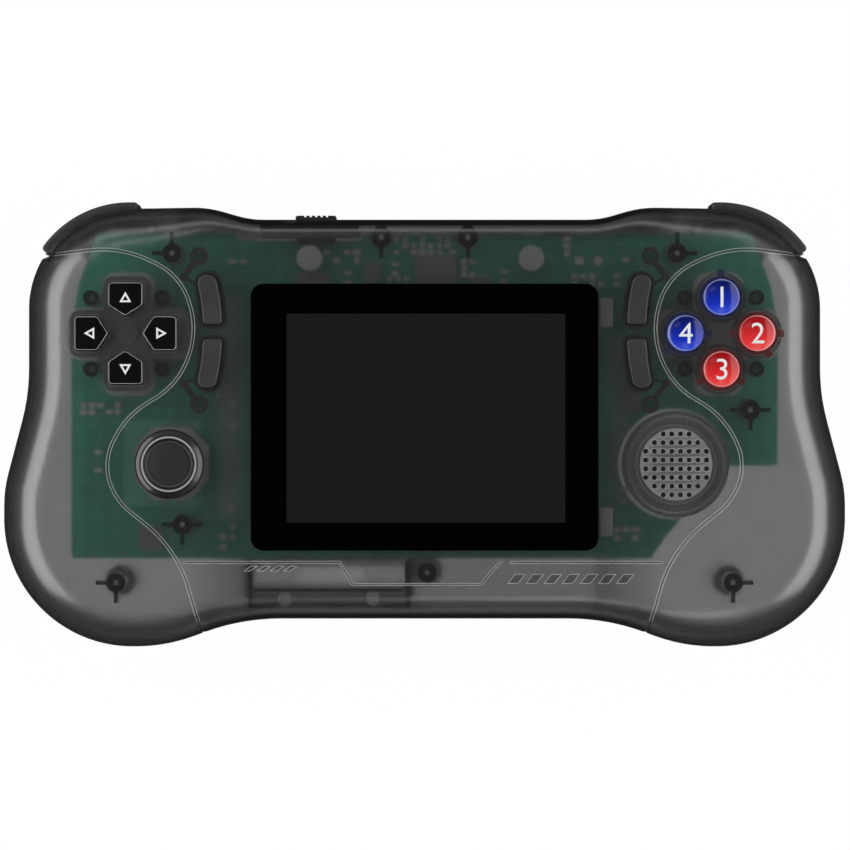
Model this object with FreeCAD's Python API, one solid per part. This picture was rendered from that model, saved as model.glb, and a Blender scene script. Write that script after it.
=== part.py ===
import FreeCAD, Part
import math
import os
from FreeCAD import Vector

os.makedirs("parts", exist_ok=True)

# Handheld game console, lying on its back, in millimetres.
# X runs to the right of the screen, Y to the top edge, Z out of the screen.
# The origin is under the middle of the body, on the surface it lies on.

# body
body_depth = 30.0
wall = 2.0
seam_drop = 13.0
seam_gap = 0.05
lip_height = 1.2
lip_gap = 0.1
top_edge = 45.1
shoulder_edge = 47.9
bottom_edge = 42.6
grip_edge = 49.0
side_flare = 5.5
side_past_buttons = 22.7
shoulder_radius = 22.2
grip_radius = 28.3
front_round_grip = 10.0
front_round_top = 4.5
front_round_bottom = 6.0
back_round_grip = 12.0
back_round_centre = 4.0
back_round_side = 5.0
grip_start_past_lens = 0.05
grip_slope = 20.0
grip_blend = 8.0

# groove round the two grip wings
groove_width = 0.9
groove_depth = 0.45
groove_core_width = 0.4
groove_core_depth = 0.85

# screen
screen_width = 60.96
screen_height = 45.72
screen_x = 0.3
screen_y = 1.5
lens_border_side = 7.47
lens_border_top = 6.29
lens_y = 1.7
lens_corner = 2.8
lens_thick = 1.2
lens_sink = 0.1
lens_gap = 0.12
lens_ledge = 3.4
screen_border = 3.2
screen_thick = 2.6
screen_air = 0.5
holder_thick = 1.2
holder_gap = 0.1
holder_tab_reach = 3.0
holder_tab_length = 6.3

# board
board_drop = 9.0
board_thick = 1.6
board_clear = 0.35
board_air = 1.6
board_side_gap = 9.5

# screws
screw_radius = 1.0
screw_length = 10.0
screw_head_radius = 1.9
screw_head_height = 1.4
screw_seat_drop = 5.0
boss_radius = 2.1
boss_tip_radius = 0.6
tube_radius = 3.4
screw_hole_gap = 0.2
head_gap = 0.4

# direction pad
pad_past_keys = 17.4
pad_y = 20.0
head_width = 7.8
head_outer = 11.3
head_inner = 3.5
head_point = 2.7
head_slope = 4.0
head_rim = 0.4
head_gap_round = 0.4
pad_rise = 1.6
pad_flange_margin = 1.3
pad_flange_thick = 1.2
pad_flange_drop = 1.4
pad_pivot_drop = 4.6
pad_tilt = 3.0
pivot_ball = 1.2
pivot_gap = 0.3

# face buttons
face_past_keys = 17.0
face_y = 20.05
face_offset = 7.87
button_radius = 3.93
button_gap = 0.25
button_rise = 1.5
button_dome = 0.9
button_rim = 0.25
button_flange = 0.8
button_flange_thick = 1.0
button_seat_gap = 0.3
button_travel = 0.8
guide_gap = 0.25
guide_wall = 0.5
guide_length = 2.6
tab_width = 1.6
tab_reach = 1.2
tab_gap = 0.3

# rubber sheets under pad and buttons
rubber_thick = 1.4
rubber_margin = 2.3
dome_radius = 2.7
dome_gap = 0.2
rubber_gap = 0.05
ring_post_offset = 7.8
ring_post_radius = 1.7
ring_post_bore = 0.8

# menu keys
keys_past_lens = 9.85
key_width = 4.3
key_length = 10.9
key_lean = 1.6
upper_key_y = 27.4
lower_key_y = 13.4
key_gap = 0.25
key_rise = 0.9
key_flange = 0.9
key_flange_thick = 0.9
key_seat_gap = 0.35
key_swing = 2.6
key_post_shift = 1.6
upper_post_y = 37.0
lower_post_y = 4.5
key_post_radius = 0.9
key_ring_radius = 2.0
key_ring_gap = 0.1
key_arm_width = 1.6
key_arm_bow = 3.4

# thumbstick
stick_past_keys = 7.7
stick_y = -8.5
stick_hole = 6.0
stick_tilt = 11.0
stick_pivot_drop = 6.3
stick_base_width = 16.2
stick_base_height = 4.6
stick_base_floor = 0.8
stick_base_roof = 0.5
stick_base_corner = 4.2
stick_base_cavity = 6.2
stick_base_mouth = 5.5
stick_notch_width = 1.0
stick_notch_depth = 0.35
stick_brim_radius = 7.56
stick_brim_lift = 2.1
stick_brim_thick = 0.7
stick_ring_radius = 6.4
stick_dish_radius = 4.9
stick_cap_height = 2.5
stick_stem_radius = 1.5
skirt_gap = 0.25
skirt_thick = 0.7
skirt_low = 2.7
yoke_outer = 4.3
yoke_inner = 2.5
yoke_height = 1.4
trunnion_radius = 0.7
trunnion_gap = 0.05

# speaker
speaker_past_keys = 7.1
speaker_y = -8.6
speaker_radius = 10.5
speaker_depth = 4.0
speaker_cone = 8.0
magnet_radius = 6.0
magnet_depth = 3.0
gasket_thick = 0.6
speaker_collar_gap = 0.3
speaker_collar_wall = 0.9
speaker_collar_depth = 3.6
grille_radius = 7.7
grille_recess_radius = 9.0
grille_recess = 0.5
grille_dome = 0.35
grille_hole_radius = 0.6
grille_pitch = 1.9
grille_rows = (4, 6, 8, 8, 8, 8, 6, 4)

# shoulder buttons
shoulder_rise = 1.4
shoulder_thick = 2.2
shoulder_tall = 9.0
shoulder_from = 85.0
shoulder_to = 146.0
shoulder_gap = 0.3
shoulder_swing_gap = 1.3
shoulder_swing = 3.0
hinge_inset = 27.0
hinge_y = 43.5
hinge_pin_radius = 0.8
hinge_fit = 0.05
hinge_eye = 1.8
shoulder_web_lift = 1.8
shoulder_web_tall = 5.0
switch_tip_gap = 0.8

# power slider
slider_x = -23.9
slider_knob_width = 9.0
slider_knob_height = 2.8
slider_knob_out = 1.0
slider_plate_width = 21.8
slider_plate_shift = 1.2
slider_plate_height = 4.2
slider_plate_thick = 1.6
slider_travel = 2.0
slider_z_over_board = 1.5
slider_gap = 0.25

# sockets on the top edge
jack_x = 29.4
jack_bore = 1.85
jack_wide = 6.2
jack_deep = 12.0
port_x = 17.4
port_wide = 7.7
port_high = 3.9
port_deep = 9.2
port_wall = 0.4
socket_gap = 0.25

# battery
cell_wide = 33.0
cell_long = 46.0
cell_thick = 5.4
cell_x = -21.1
cell_y = -7.0
cell_gap = 0.4
contact_room = 2.4
latch_room = 7.4
latch_width = 24.0
ridge_thick = 2.3
ridge_tall = 3.0
cell_room = 0.3
case_wall = 1.3
case_roof = 1.2
door_thick = 1.6
door_ledge = 2.2
door_gap = 0.15
door_corner = 2.0
contact_thick = 0.4

# heights follow the front face, so a deeper body only gets deeper grips
board_top = body_depth - board_drop
board_low = board_top - board_thick
front_inner = body_depth - wall
seam_height = body_depth - seam_drop
screw_seat = seam_height - screw_seat_drop
shoulder_low = board_top - shoulder_tall
shoulder_high = board_top
shoulder_web_low = shoulder_low + shoulder_web_lift
shoulder_web_high = shoulder_web_low + shoulder_web_tall
centre_back = board_low - board_air - case_roof - 2 * cell_room - cell_thick - door_thick

# widths follow the screen: keys past the lens, buttons past the keys, side past the buttons
lens_width = screen_width + 2 * lens_border_side
lens_height = screen_height + 2 * lens_border_top
key_x = lens_width / 2 + keys_past_lens
key_post_x = key_x + key_post_shift
face_x = key_x + face_past_keys
pad_x = -key_x - pad_past_keys
stick_x = -key_x - stick_past_keys
speaker_x = key_x + speaker_past_keys
side_width = face_x + side_past_buttons
grip_width = side_width + side_flare
grip_start = lens_width / 2 + grip_start_past_lens
grip_full = grip_start + grip_slope
hinge_x = side_width - hinge_inset
edge_slope_x = grip_start + 0.3
far = 1.5 * grip_width


def box(x0, x1, y0, y1, z0, z1):
    return Part.makeBox(x1 - x0, y1 - y0, z1 - z0, Vector(x0, y0, z0))


def disc(x, y, z0, z1, radius):
    return Part.makeCylinder(radius, z1 - z0, Vector(x, y, z0))


def ring(x, y, z0, z1, outer, inner):
    return disc(x, y, z0, z1, outer).cut(disc(x, y, z0 - 1, z1 + 1, inner))


def rounded_wire(points):
    corners = []
    count = len(points)
    for i in range(count):
        before, here, after = points[i - 1], points[i], points[(i + 1) % count]
        corner = Vector(here[0], here[1], 0)
        back = Vector(before[0] - here[0], before[1] - here[1], 0).normalize()
        on = Vector(after[0] - here[0], after[1] - here[1], 0).normalize()
        radius = here[2]
        if radius <= 0:
            corners.append((corner, corner, None))
            continue
        angle = math.acos(max(-1.0, min(1.0, back.dot(on))))
        reach = radius / math.tan(angle / 2)
        toward = (back + on).normalize()
        middle = corner + toward * (radius / math.sin(angle / 2) - radius)
        corners.append((corner + back * reach, corner + on * reach, middle))
    edges = []
    for i in range(count):
        start, end, middle = corners[i]
        if middle is not None:
            edges.append(Part.Arc(start, middle, end).toShape())
        following = corners[(i + 1) % count][0]
        if (following - end).Length > 1e-6:
            edges.append(Part.LineSegment(end, following).toShape())
    return Part.Wire(Part.__sortEdges__(edges))


def plate(points, z0, z1):
    face = Part.Face(rounded_wire(points))
    face.translate(Vector(0, 0, z0))
    solid = face.extrude(Vector(0, 0, z1 - z0))
    return solid


def inset(points, amount):
    count = len(points)
    twice_area = 0.0
    for i in range(count):
        a, b = points[i], points[(i + 1) % count]
        twice_area += a[0] * b[1] - b[0] * a[1]
    side = 1 if twice_area > 0 else -1
    result = []
    for i in range(count):
        before, here, after = points[i - 1], points[i], points[(i + 1) % count]
        a = Vector(here[0] - before[0], here[1] - before[1], 0).normalize()
        b = Vector(after[0] - here[0], after[1] - here[1], 0).normalize()
        p = Vector(here[0], here[1], 0) + Vector(-a.y, a.x, 0) * side * amount
        q = Vector(here[0], here[1], 0) + Vector(-b.y, b.x, 0) * side * amount
        cross = a.x * b.y - a.y * b.x
        along = ((q.x - p.x) * b.y - (q.y - p.y) * b.x) / cross
        spot = p + a * along
        radius = 0
        if here[2] > 0:
            convex = cross * side > 0
            radius = max(here[2] - amount if convex else here[2] + amount, 0.15)
        result.append((spot.x, spot.y, radius))
    return result


def mirrored(points):
    return [(-x, y, r) for x, y, r in reversed(points)]


def rectangle(cx, cy, width, height, radius):
    w, h = width / 2, height / 2
    return [(cx - w, cy - h, radius), (cx + w, cy - h, radius),
            (cx + w, cy + h, radius), (cx - w, cy + h, radius)]


def turned(shape, x, y, angle):
    copy = shape.copy()
    copy.rotate(Vector(x, y, 0), Vector(0, 0, 1), angle)
    return copy


def flipped(shape):
    return shape.mirror(Vector(0, 0, 0), Vector(1, 0, 0))


def joined(shapes):
    return shapes[0].fuse(shapes[1:]).removeSplitter()


def rounded_edges(solid, z, size_at):
    work = FreeCAD.newDocument("work")
    base = work.addObject("Part::Feature", "base")
    base.Shape = solid
    fillet = work.addObject("Part::Fillet", "fillet")
    fillet.Base = base
    chosen = []
    for number, edge in enumerate(solid.Edges, 1):
        box_of = edge.BoundBox
        if abs(box_of.ZMin - z) < 1e-5 and abs(box_of.ZMax - z) < 1e-5:
            a = edge.valueAt(edge.FirstParameter)
            b = edge.valueAt(edge.LastParameter)
            chosen.append((number, size_at(a.x, a.y), size_at(b.x, b.y)))
    fillet.Edges = chosen
    work.recompute()
    result = fillet.Shape.Solids[0].copy()
    FreeCAD.closeDocument("work")
    return result


def softened(solid, z, radius):
    edges = [e for e in solid.Edges if abs(e.BoundBox.ZMin - z) < 1e-5 and abs(e.BoundBox.ZMax - z) < 1e-5]
    return solid.makeFillet(radius, edges)


half_outline = [
    (edge_slope_x, top_edge, 20),
    (edge_slope_x + 9.4, shoulder_edge, 25),
    (side_width, shoulder_edge, shoulder_radius),
    (side_width, 6.7, 45),
    (grip_width, -14.2, 28),
    (grip_width, -grip_edge, grip_radius),
    (grip_full - 0.8, -grip_edge, 38),
    (grip_start + 2.4, -bottom_edge, 48),
]
outline = half_outline + mirrored(half_outline)
body_cache = {}


def between(x, low, high):
    t = min(1.0, max(0.0, (abs(x) - grip_start) / (grip_full + 8 - grip_start)))
    t = t * t * (3 - 2 * t)
    return low + (high - low) * t


def body(offset):
    # the whole outer form, moved inwards by offset
    key = round(offset, 4)
    if key in body_cache:
        return body_cache[key]

    def front_size(x, y):
        return between(x, front_round_top if y > 0 else front_round_bottom, front_round_grip) - offset

    def centre_size(x, y):
        return between(x, back_round_centre, back_round_side) - offset

    def grip_size(x, y):
        return back_round_grip - offset

    shape = inset(outline, offset)
    slab = plate(shape, centre_back + offset, body_depth - offset)
    slab = rounded_edges(slab, body_depth - offset, front_size)
    slab = rounded_edges(slab, centre_back + offset, centre_size)
    full = plate(shape, offset, body_depth - offset)
    full = rounded_edges(full, body_depth - offset, front_size)
    full = rounded_edges(full, offset, grip_size)
    pieces = []
    for side in (1, -1):
        section = [
            (grip_start - 4, centre_back + 6 + offset, 0),
            (grip_start + 1.2 * offset, centre_back + offset, grip_blend),
            (grip_full + offset, -2, 0),
            (far, -2, 0),
            (far, centre_back + 6 + offset, 0),
        ]
        face = Part.Face(rounded_wire([(side * x, z, r) for x, z, r in section]))
        face.rotate(Vector(0, 0, 0), Vector(1, 0, 0), 90)
        zone = face.extrude(Vector(0, 2 * far, 0))
        zone.translate(Vector(0, -far, 0))
        pieces.append(full.common(zone))
    result = slab.fuse(pieces).removeSplitter()
    body_cache[key] = result
    return result


def layer(low, high):
    return box(-far, far, -far, far, low, high)


nodes = {}

outer = body(0.0)
inner = body(wall)
skin = body(wall / 2)
lip_line = wall / 2

# wing area on the left, used for the groove
wing_left_y = 38.9 - (far + pad_x - 1.0) * 0.0989
wing = [
    (-far, wing_left_y, 0),
    (pad_x - 1.0, 38.9, 24),
    (pad_x + 11.9, 32.7, 13.5),
    (pad_x + 16.0, 19.9, 18),
    (pad_x + 10.8, 8.6, 16.5),
    (pad_x - 0.4, 1.7, 19),
    (pad_x - 5.5, -9.4, 12),
    (pad_x - 1.2, -17.3, 13.5),
    (pad_x + 11.2, -27.2, 28),
    (pad_x + 20.0, -58, 0),
    (-far, -58, 0),
]


def wing_band(width):
    outer_area = plate(inset(wing, -width / 2), seam_height + 2, body_depth + 1)
    inner_area = plate(inset(wing, width / 2), seam_height + 1, body_depth + 2)
    return outer_area.cut(inner_area)


# screws and their bosses, with the directions of each boss's ribs
upper_screw_x = key_x + 7.5
grip_screw_x = grip_width - 25.5
screw_ribs = {
    (upper_screw_x, 37.6): (0, 90), (-upper_screw_x, 37.6): (180, 90), (9.5, 41.0): (270,), (-9.5, 41.0): (270,),
    (grip_screw_x, -34.5): (0, 270), (-grip_screw_x, -34.5): (180, 270), (stick_x + 2.5, -21.8): (0, 180, 270),
    (face_x + 6.5, 3.3): (0, 180, 270), (0.6, -32.3): (),
}
screw_spots = list(screw_ribs)
rib_length = 2.3
rib_thick = 0.9
rib_depth = 6.0
front_bosses = []
rear_tubes = []
boss_bores = []
tube_holes = []
lip_notches = []
for x, y in screw_spots:
    front_bosses.append(disc(x, y, seam_height + seam_gap, body_depth, boss_radius))
    lip_notches.append(disc(x, y, seam_height, body_depth, boss_radius + lip_gap))
    for angle in screw_ribs[(x, y)]:
        rib = box(x + boss_radius - 0.4, x + boss_radius + rib_length, y - rib_thick / 2, y + rib_thick / 2,
                  front_inner - rib_depth, body_depth)
        front_bosses.append(turned(rib, x, y, angle))
    rear_tubes.append(disc(x, y, -1, seam_height - seam_gap, tube_radius))
    boss_bores.append(disc(x, y, seam_height - 1, screw_seat + screw_length + 0.6, screw_radius))
    boss_bores.append(disc(x, y, seam_height - 1, front_inner - 0.5, boss_tip_radius))
    tube_holes.append(disc(x, y, -1, screw_seat, screw_head_radius + head_gap))
    tube_holes.append(disc(x, y, -1, seam_height + 1, screw_radius + screw_hole_gap))

screws = []
for x, y in screw_spots:
    shank = disc(x, y, screw_seat, screw_seat + screw_length, screw_radius)
    head = disc(x, y, screw_seat - screw_head_height, screw_seat, screw_head_radius)
    cross = box(x - 1.2, x + 1.2, y - 0.2, y + 0.2, screw_seat - screw_head_height - 1, screw_seat - 0.7)
    head = head.cut([cross, turned(cross, x, y, 90)])
    screws.append(shank.fuse(head).removeSplitter())
nodes["case_screws"] = Part.makeCompound(screws)


# direction pad heads, drawn pointing at the middle of the pad
def head_outline(grow):
    w = head_width / 2 + grow
    shoulder = head_inner + head_point
    return [(pad_x - w, pad_y + head_outer + grow, 1.0 + grow),
            (pad_x - w, pad_y + shoulder, 0.8 + grow),
            (pad_x, pad_y + head_inner - grow * 1.25, 0.8 + grow),
            (pad_x + w, pad_y + shoulder, 0.8 + grow),
            (pad_x + w, pad_y + head_outer + grow, 1.0 + grow)]


pad_flange_top = front_inner - pad_flange_drop
pad_flange_low = pad_flange_top - pad_flange_thick
pad_pivot_z = body_depth - pad_pivot_drop
pad_solids = []
pad_openings = []
for quarter in range(4):
    head = plate(head_outline(0), pad_flange_top - pad_flange_thick / 2, body_depth + pad_rise)
    slope = box(pad_x - head_outer, pad_x + head_outer, pad_y - head_outer, pad_y + 3 * head_outer,
                body_depth + pad_rise, body_depth + 4 * pad_rise)
    slope.rotate(Vector(pad_x, pad_y + head_inner, body_depth + pad_rise), Vector(1, 0, 0), -head_slope)
    head = head.cut(slope)
    rim = [e for e in head.Edges if e.BoundBox.ZMin > body_depth]
    head = head.makeFillet(head_rim, rim)
    pad_solids.append(turned(head, pad_x, pad_y, 90 * quarter))
    hole = plate(head_outline(head_gap_round), front_inner - 1, body_depth + 1)
    pad_openings.append(turned(hole, pad_x, pad_y, 90 * quarter))
lobe = 2 * (head_outer + pad_flange_margin)
lobe_width = head_width + 2 * pad_flange_margin
for width, height in ((lobe_width, lobe), (lobe, lobe_width)):
    pad_solids.append(plate(rectangle(pad_x, pad_y, width, height, 2.2), pad_flange_low, pad_flange_top))
pad_solids.append(disc(pad_x, pad_y, pad_pivot_z - pivot_ball, front_inner - 0.6, 2 * pivot_ball))
pad = joined(pad_solids)
pad = pad.cut(Part.makeSphere(pivot_ball + pivot_gap, Vector(pad_x, pad_y, pad_pivot_z)))
nodes["direction_pad"] = pad

rubber_top = board_top + rubber_gap + rubber_thick
foot_low = rubber_top + pivot_gap
pivot_ball_solid = Part.makeSphere(pivot_ball, Vector(pad_x, pad_y, pad_pivot_z))
pivot_stem = disc(pad_x, pad_y, foot_low, pad_pivot_z, pivot_ball * 0.42)
pivot_foot = disc(pad_x, pad_y, foot_low, foot_low + 0.7, pivot_ball)
nodes["pad_pivot"] = joined([pivot_ball_solid, pivot_stem, pivot_foot])


def rubber_sheet(x, y, reach, width, dome_top, pocket):
    sheets = []
    for w, h in ((width, 2 * reach), (2 * reach, width)):
        sheets.append(plate(rectangle(x, y, w, h, 3.0), board_top + rubber_gap, rubber_top))
    for quarter in range(4):
        dome = Part.makeCone(dome_radius + 0.6, dome_radius * 0.7, dome_top - rubber_top,
                             Vector(x + face_offset, y, rubber_top))
        sheets.append(turned(dome, x, y, 90 * quarter))
    sheet = joined(sheets)
    hollows = []
    for quarter in range(4):
        hollow = disc(x + face_offset, y, board_top, board_top + pocket, dome_radius)
        hollows.append(turned(hollow, x, y, 90 * quarter))
    return sheet.cut(hollows)


pad_sink = (head_outer + pad_flange_margin) * math.sin(math.radians(pad_tilt))
nodes["pad_rubber"] = rubber_sheet(
    pad_x, pad_y, head_outer + rubber_margin, head_width + 2 * rubber_margin - 1,
    pad_flange_low - pad_sink - dome_gap, 1.0)

# face buttons: top, left, bottom, right, each with its own keying tabs
flange_top = front_inner - button_seat_gap
flange_low = flange_top - button_flange_thick
flange_radius = button_radius + button_flange
guide_inner = flange_radius + guide_gap
tab_angles = {"top": (90,), "left": (225, 0), "bottom": (210, 330), "right": (180, 0, 300)}
button_spots = {"top": (0, 1), "left": (-1, 0), "bottom": (0, -1), "right": (1, 0)}
button_openings = []
button_guides = []
guide_slots = []
for name, (dx, dy) in button_spots.items():
    x = face_x + dx * face_offset
    y = face_y + dy * face_offset
    top = body_depth + button_rise
    dome = (button_radius ** 2 + button_dome ** 2) / (2 * button_dome)
    cap = disc(x, y, flange_low, top, button_radius).common(Part.makeSphere(dome, Vector(x, y, top - dome)))
    rim = [e for e in cap.Edges if abs(e.BoundBox.ZLength) < 1e-5 and e.BoundBox.ZMin > body_depth]
    cap = cap.makeFillet(button_rim, rim)
    pieces = [cap, disc(x, y, flange_low, flange_top, flange_radius)]
    for angle in tab_angles[name]:
        tab = box(x + flange_radius - 0.5, x + flange_radius + tab_reach, y - tab_width / 2,
                  y + tab_width / 2, flange_low, flange_top)
        pieces.append(turned(tab, x, y, angle))
        slot = box(x + flange_radius - 0.5, x + flange_radius + tab_reach + tab_gap,
                   y - tab_width / 2 - tab_gap, y + tab_width / 2 + tab_gap,
                   front_inner - guide_length - 1, front_inner)
        guide_slots.append(turned(slot, x, y, angle))
    nodes["button_" + name] = joined(pieces)
    button_openings.append(disc(x, y, front_inner - 1, body_depth + 1, button_radius + button_gap))
    button_guides.append(ring(x, y, front_inner - guide_length, front_inner + 0.5,
                              guide_inner + guide_wall, guide_inner))

nodes["button_rubber"] = rubber_sheet(
    face_x, face_y, face_offset + flange_radius + 1.0, 2 * flange_radius + 1.4,
    flange_low - button_travel - dome_gap, 1.0)

ring_posts = []
ring_bores = []
for cx, cy in ((pad_x, pad_y), (face_x, face_y)):
    for dx in (-1, 1):
        for dy in (-1, 1):
            x = cx + dx * ring_post_offset
            y = cy + dy * ring_post_offset
            ring_posts.append(disc(x, y, board_top + rubber_gap, front_inner + 0.5, ring_post_radius))
            ring_bores.append(disc(x, y, board_top, front_inner - 1, ring_post_bore))


# menu keys: a bent pill on a thin arm, whose ring turns a little on a moulded post
def key_outline(side, up, y, grow):
    half = key_width / 2 + grow
    long_half = key_length / 2 + grow
    round_x = side * key_x
    middle_x = side * (key_x - 0.7 * key_lean)
    flat_x = side * (key_x - key_lean)
    round_end = key_width / 2 + grow - 0.25
    return [(round_x - half, y + up * long_half, round_end), (round_x + half, y + up * long_half, round_end),
            (middle_x + half, y, 20.0), (flat_x + half, y - up * long_half, 0.9 + grow),
            (flat_x - half, y - up * long_half, 0.9 + grow), (middle_x - half, y, 20.0)]


key_flange_top = front_inner - key_seat_gap
key_flange_low = key_flange_top - key_flange_thick
key_openings = []
key_posts = []
for side in (-1, 1):
    for up, place, y, post_y in ((1, "upper", upper_key_y, upper_post_y), (-1, "lower", lower_key_y, lower_post_y)):
        post_x = side * key_post_x
        key_openings.append(plate(key_outline(side, up, y, key_gap), front_inner - 1, body_depth + 1))
        key_posts.append(disc(post_x, post_y, key_flange_low - 0.8, front_inner + 0.5, key_post_radius))
        if side > 0:
            nodes["menu_key_%s_right" % place] = flipped(nodes["menu_key_%s_left" % place])
            continue
        cap = plate(key_outline(side, up, y, 0), key_flange_low, body_depth + key_rise)
        cap = softened(cap, body_depth + key_rise, 0.4)
        flange = plate(key_outline(side, up, y, key_flange), key_flange_low, key_flange_top)
        edge_x = side * (key_x + key_width / 2 + key_flange - 1.3)
        bend_x = side * (key_post_x + key_arm_bow)
        bend_y = post_y - up * 4.6
        end_y = y + up * (key_length / 2 - 2.2)
        half_arm = key_arm_width / 2
        first = plate([(post_x - half_arm, post_y, 0), (post_x + half_arm, post_y, 0),
                       (bend_x + half_arm, bend_y, 0), (bend_x - half_arm, bend_y, 0)],
                      key_flange_low, key_flange_top)
        second = plate([(bend_x - half_arm, bend_y, 0), (bend_x + half_arm, bend_y, 0),
                        (edge_x + half_arm, end_y, 0), (edge_x - half_arm, end_y, 0)],
                       key_flange_low, key_flange_top)
        knee = disc(bend_x, bend_y, key_flange_low, key_flange_top, half_arm + 0.05)
        eye = disc(post_x, post_y, key_flange_low, key_flange_top, key_ring_radius)
        key = joined([cap, flange, first, second, knee, eye])
        key = key.cut(disc(post_x, post_y, key_flange_low - 1, key_flange_top + 1,
                           key_post_radius + key_ring_gap))
        nodes["menu_key_%s_left" % place] = key

# thumbstick on a two-axis yoke
pivot_z = body_depth - stick_pivot_drop
base_low = board_top
base_top = base_low + stick_base_height
half_base = stick_base_width / 2
octagon = []
for sx, sy in ((-1, -1), (1, -1), (1, 1), (-1, 1)):
    a = (stick_x + sx * (half_base - stick_base_corner), stick_y + sy * half_base, 0)
    b = (stick_x + sx * half_base, stick_y + sy * (half_base - stick_base_corner), 0)
    octagon += [a, b] if sx * sy < 0 else [b, a]
base = plate(octagon, base_low, base_top)
notches = []
for quarter in range(4):
    for step in (-2, -1, 0, 1, 2):
        notch = box(stick_x + half_base - stick_notch_depth, stick_x + half_base + 1,
                    stick_y + step * 2 * stick_notch_width - stick_notch_width / 2,
                    stick_y + step * 2 * stick_notch_width + stick_notch_width / 2,
                    base_top - 0.8, base_top + 1)
        notches.append(turned(notch, stick_x, stick_y, 90 * quarter))
base = base.cut(notches)
base = base.cut(disc(stick_x, stick_y, base_low + stick_base_floor, base_top - stick_base_roof,
                     stick_base_cavity))
base = base.cut(disc(stick_x, stick_y, base_top - 1, base_top + 1, stick_base_mouth))
trunnion_end = stick_base_cavity + 0.9
bearing = Part.makeCylinder(trunnion_radius + trunnion_gap, 2 * (trunnion_end + 0.2),
                            Vector(stick_x - trunnion_end - 0.2, stick_y, pivot_z), Vector(1, 0, 0))
base = base.cut(bearing)
nodes["stick_base"] = base

yoke = ring(stick_x, stick_y, pivot_z - yoke_height / 2, pivot_z + yoke_height / 2, yoke_outer, yoke_inner)
trunnions = []
for side in (-1, 1):
    start = stick_x + side * (yoke_outer - 0.6)
    trunnions.append(Part.makeCylinder(trunnion_radius, trunnion_end - yoke_outer + 0.6,
                                       Vector(start, stick_y, pivot_z), Vector(side, 0, 0)))
cross_hole = Part.makeCylinder(trunnion_radius - 0.2 + trunnion_gap, 2 * yoke_outer + 2,
                               Vector(stick_x, stick_y - yoke_outer - 1, pivot_z), Vector(0, 1, 0))
nodes["stick_yoke"] = joined([yoke] + trunnions).cut(cross_hole)

brim_low = body_depth + stick_brim_lift
brim_top = brim_low + stick_brim_thick
cap_top = brim_low + stick_cap_height
skirt_radius = math.sqrt(stick_hole ** 2 + (front_inner - pivot_z) ** 2) - skirt_gap
profile = [
    (0, pivot_z - 1.1), (stick_stem_radius, pivot_z - 1.1), (stick_stem_radius, body_depth - 0.2),
    (stick_stem_radius + 1.6, brim_low - 0.7), (stick_brim_radius - 1.6, brim_low - 0.25),
    (stick_brim_radius - 0.3, brim_low), (stick_brim_radius, brim_low + 0.25), (stick_brim_radius, brim_top),
    (stick_brim_radius - 0.35, brim_top + 0.35), (stick_ring_radius, brim_top + 0.7),
    (stick_ring_radius, cap_top - 0.2), (stick_ring_radius - 0.25, cap_top),
    (stick_ring_radius - 0.7, cap_top), (stick_dish_radius, cap_top - 0.75),
    (stick_dish_radius * 0.55, cap_top - 0.5), (0, cap_top - 0.4),
]
loop = [Vector(stick_x + r, stick_y, z) for r, z in profile]
cap_face = Part.Face(Part.makePolygon(loop + [loop[0]]))
stick = cap_face.revolve(Vector(stick_x, stick_y, 0), Vector(0, 0, 1), 360)
centre = Vector(stick_x, stick_y, pivot_z)
skirt = Part.makeSphere(skirt_radius, centre).cut(Part.makeSphere(skirt_radius - skirt_thick, centre))
skirt = skirt.common(box(stick_x - 20, stick_x + 20, stick_y - 20, stick_y + 20,
                         body_depth - skirt_low, body_depth + 20))
stick = joined([stick, skirt])
cross_pin = Part.makeCylinder(trunnion_radius - 0.2, 2 * (yoke_outer - 0.3),
                              Vector(stick_x, stick_y - yoke_outer + 0.3, pivot_z), Vector(0, 1, 0))
nodes["thumbstick"] = joined([stick, cross_pin])

# speaker, held in a collar under the grille
speaker_top = front_inner - gasket_thick
speaker_low = speaker_top - speaker_depth
frame = disc(speaker_x, speaker_y, speaker_low, speaker_top, speaker_radius)
frame = frame.cut(Part.makeCone(magnet_radius * 0.5, speaker_cone, speaker_depth - 1.4,
                                Vector(speaker_x, speaker_y, speaker_low + 1.5)))
magnet = disc(speaker_x, speaker_y, speaker_low - magnet_depth, speaker_low, magnet_radius)
dust_cap = Part.makeSphere(3.0, Vector(speaker_x, speaker_y, speaker_low + 0.2))
dust_cap = dust_cap.common(disc(speaker_x, speaker_y, speaker_low + 0.5, speaker_top, 3.4))
nodes["speaker"] = joined([frame, magnet, dust_cap])
nodes["speaker_gasket"] = ring(speaker_x, speaker_y, speaker_top, front_inner, speaker_radius, speaker_cone)
collar_inner = speaker_radius + speaker_collar_gap
speaker_collar = ring(speaker_x, speaker_y, front_inner - speaker_collar_depth, front_inner + 0.5,
                      collar_inner + speaker_collar_wall, collar_inner)
grille_cuts = [ring(speaker_x, speaker_y, body_depth - grille_recess, body_depth + 1,
                    grille_recess_radius, grille_radius)]
rows = len(grille_rows)
for row, count in enumerate(grille_rows):
    y = speaker_y + (row - (rows - 1) / 2) * grille_pitch
    for i in range(count):
        x = speaker_x + (i - (count - 1) / 2) * grille_pitch
        grille_cuts.append(disc(x, y, front_inner - 1, body_depth + 1, grille_hole_radius))
dome_ball = (grille_radius ** 2 + grille_dome ** 2) / (2 * grille_dome)
grille_dome_solid = Part.makeSphere(dome_ball, Vector(speaker_x, speaker_y, body_depth + grille_dome - dome_ball))
grille_dome_solid = grille_dome_solid.common(
    disc(speaker_x, speaker_y, body_depth - 0.5, body_depth + 1, grille_radius))


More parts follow.
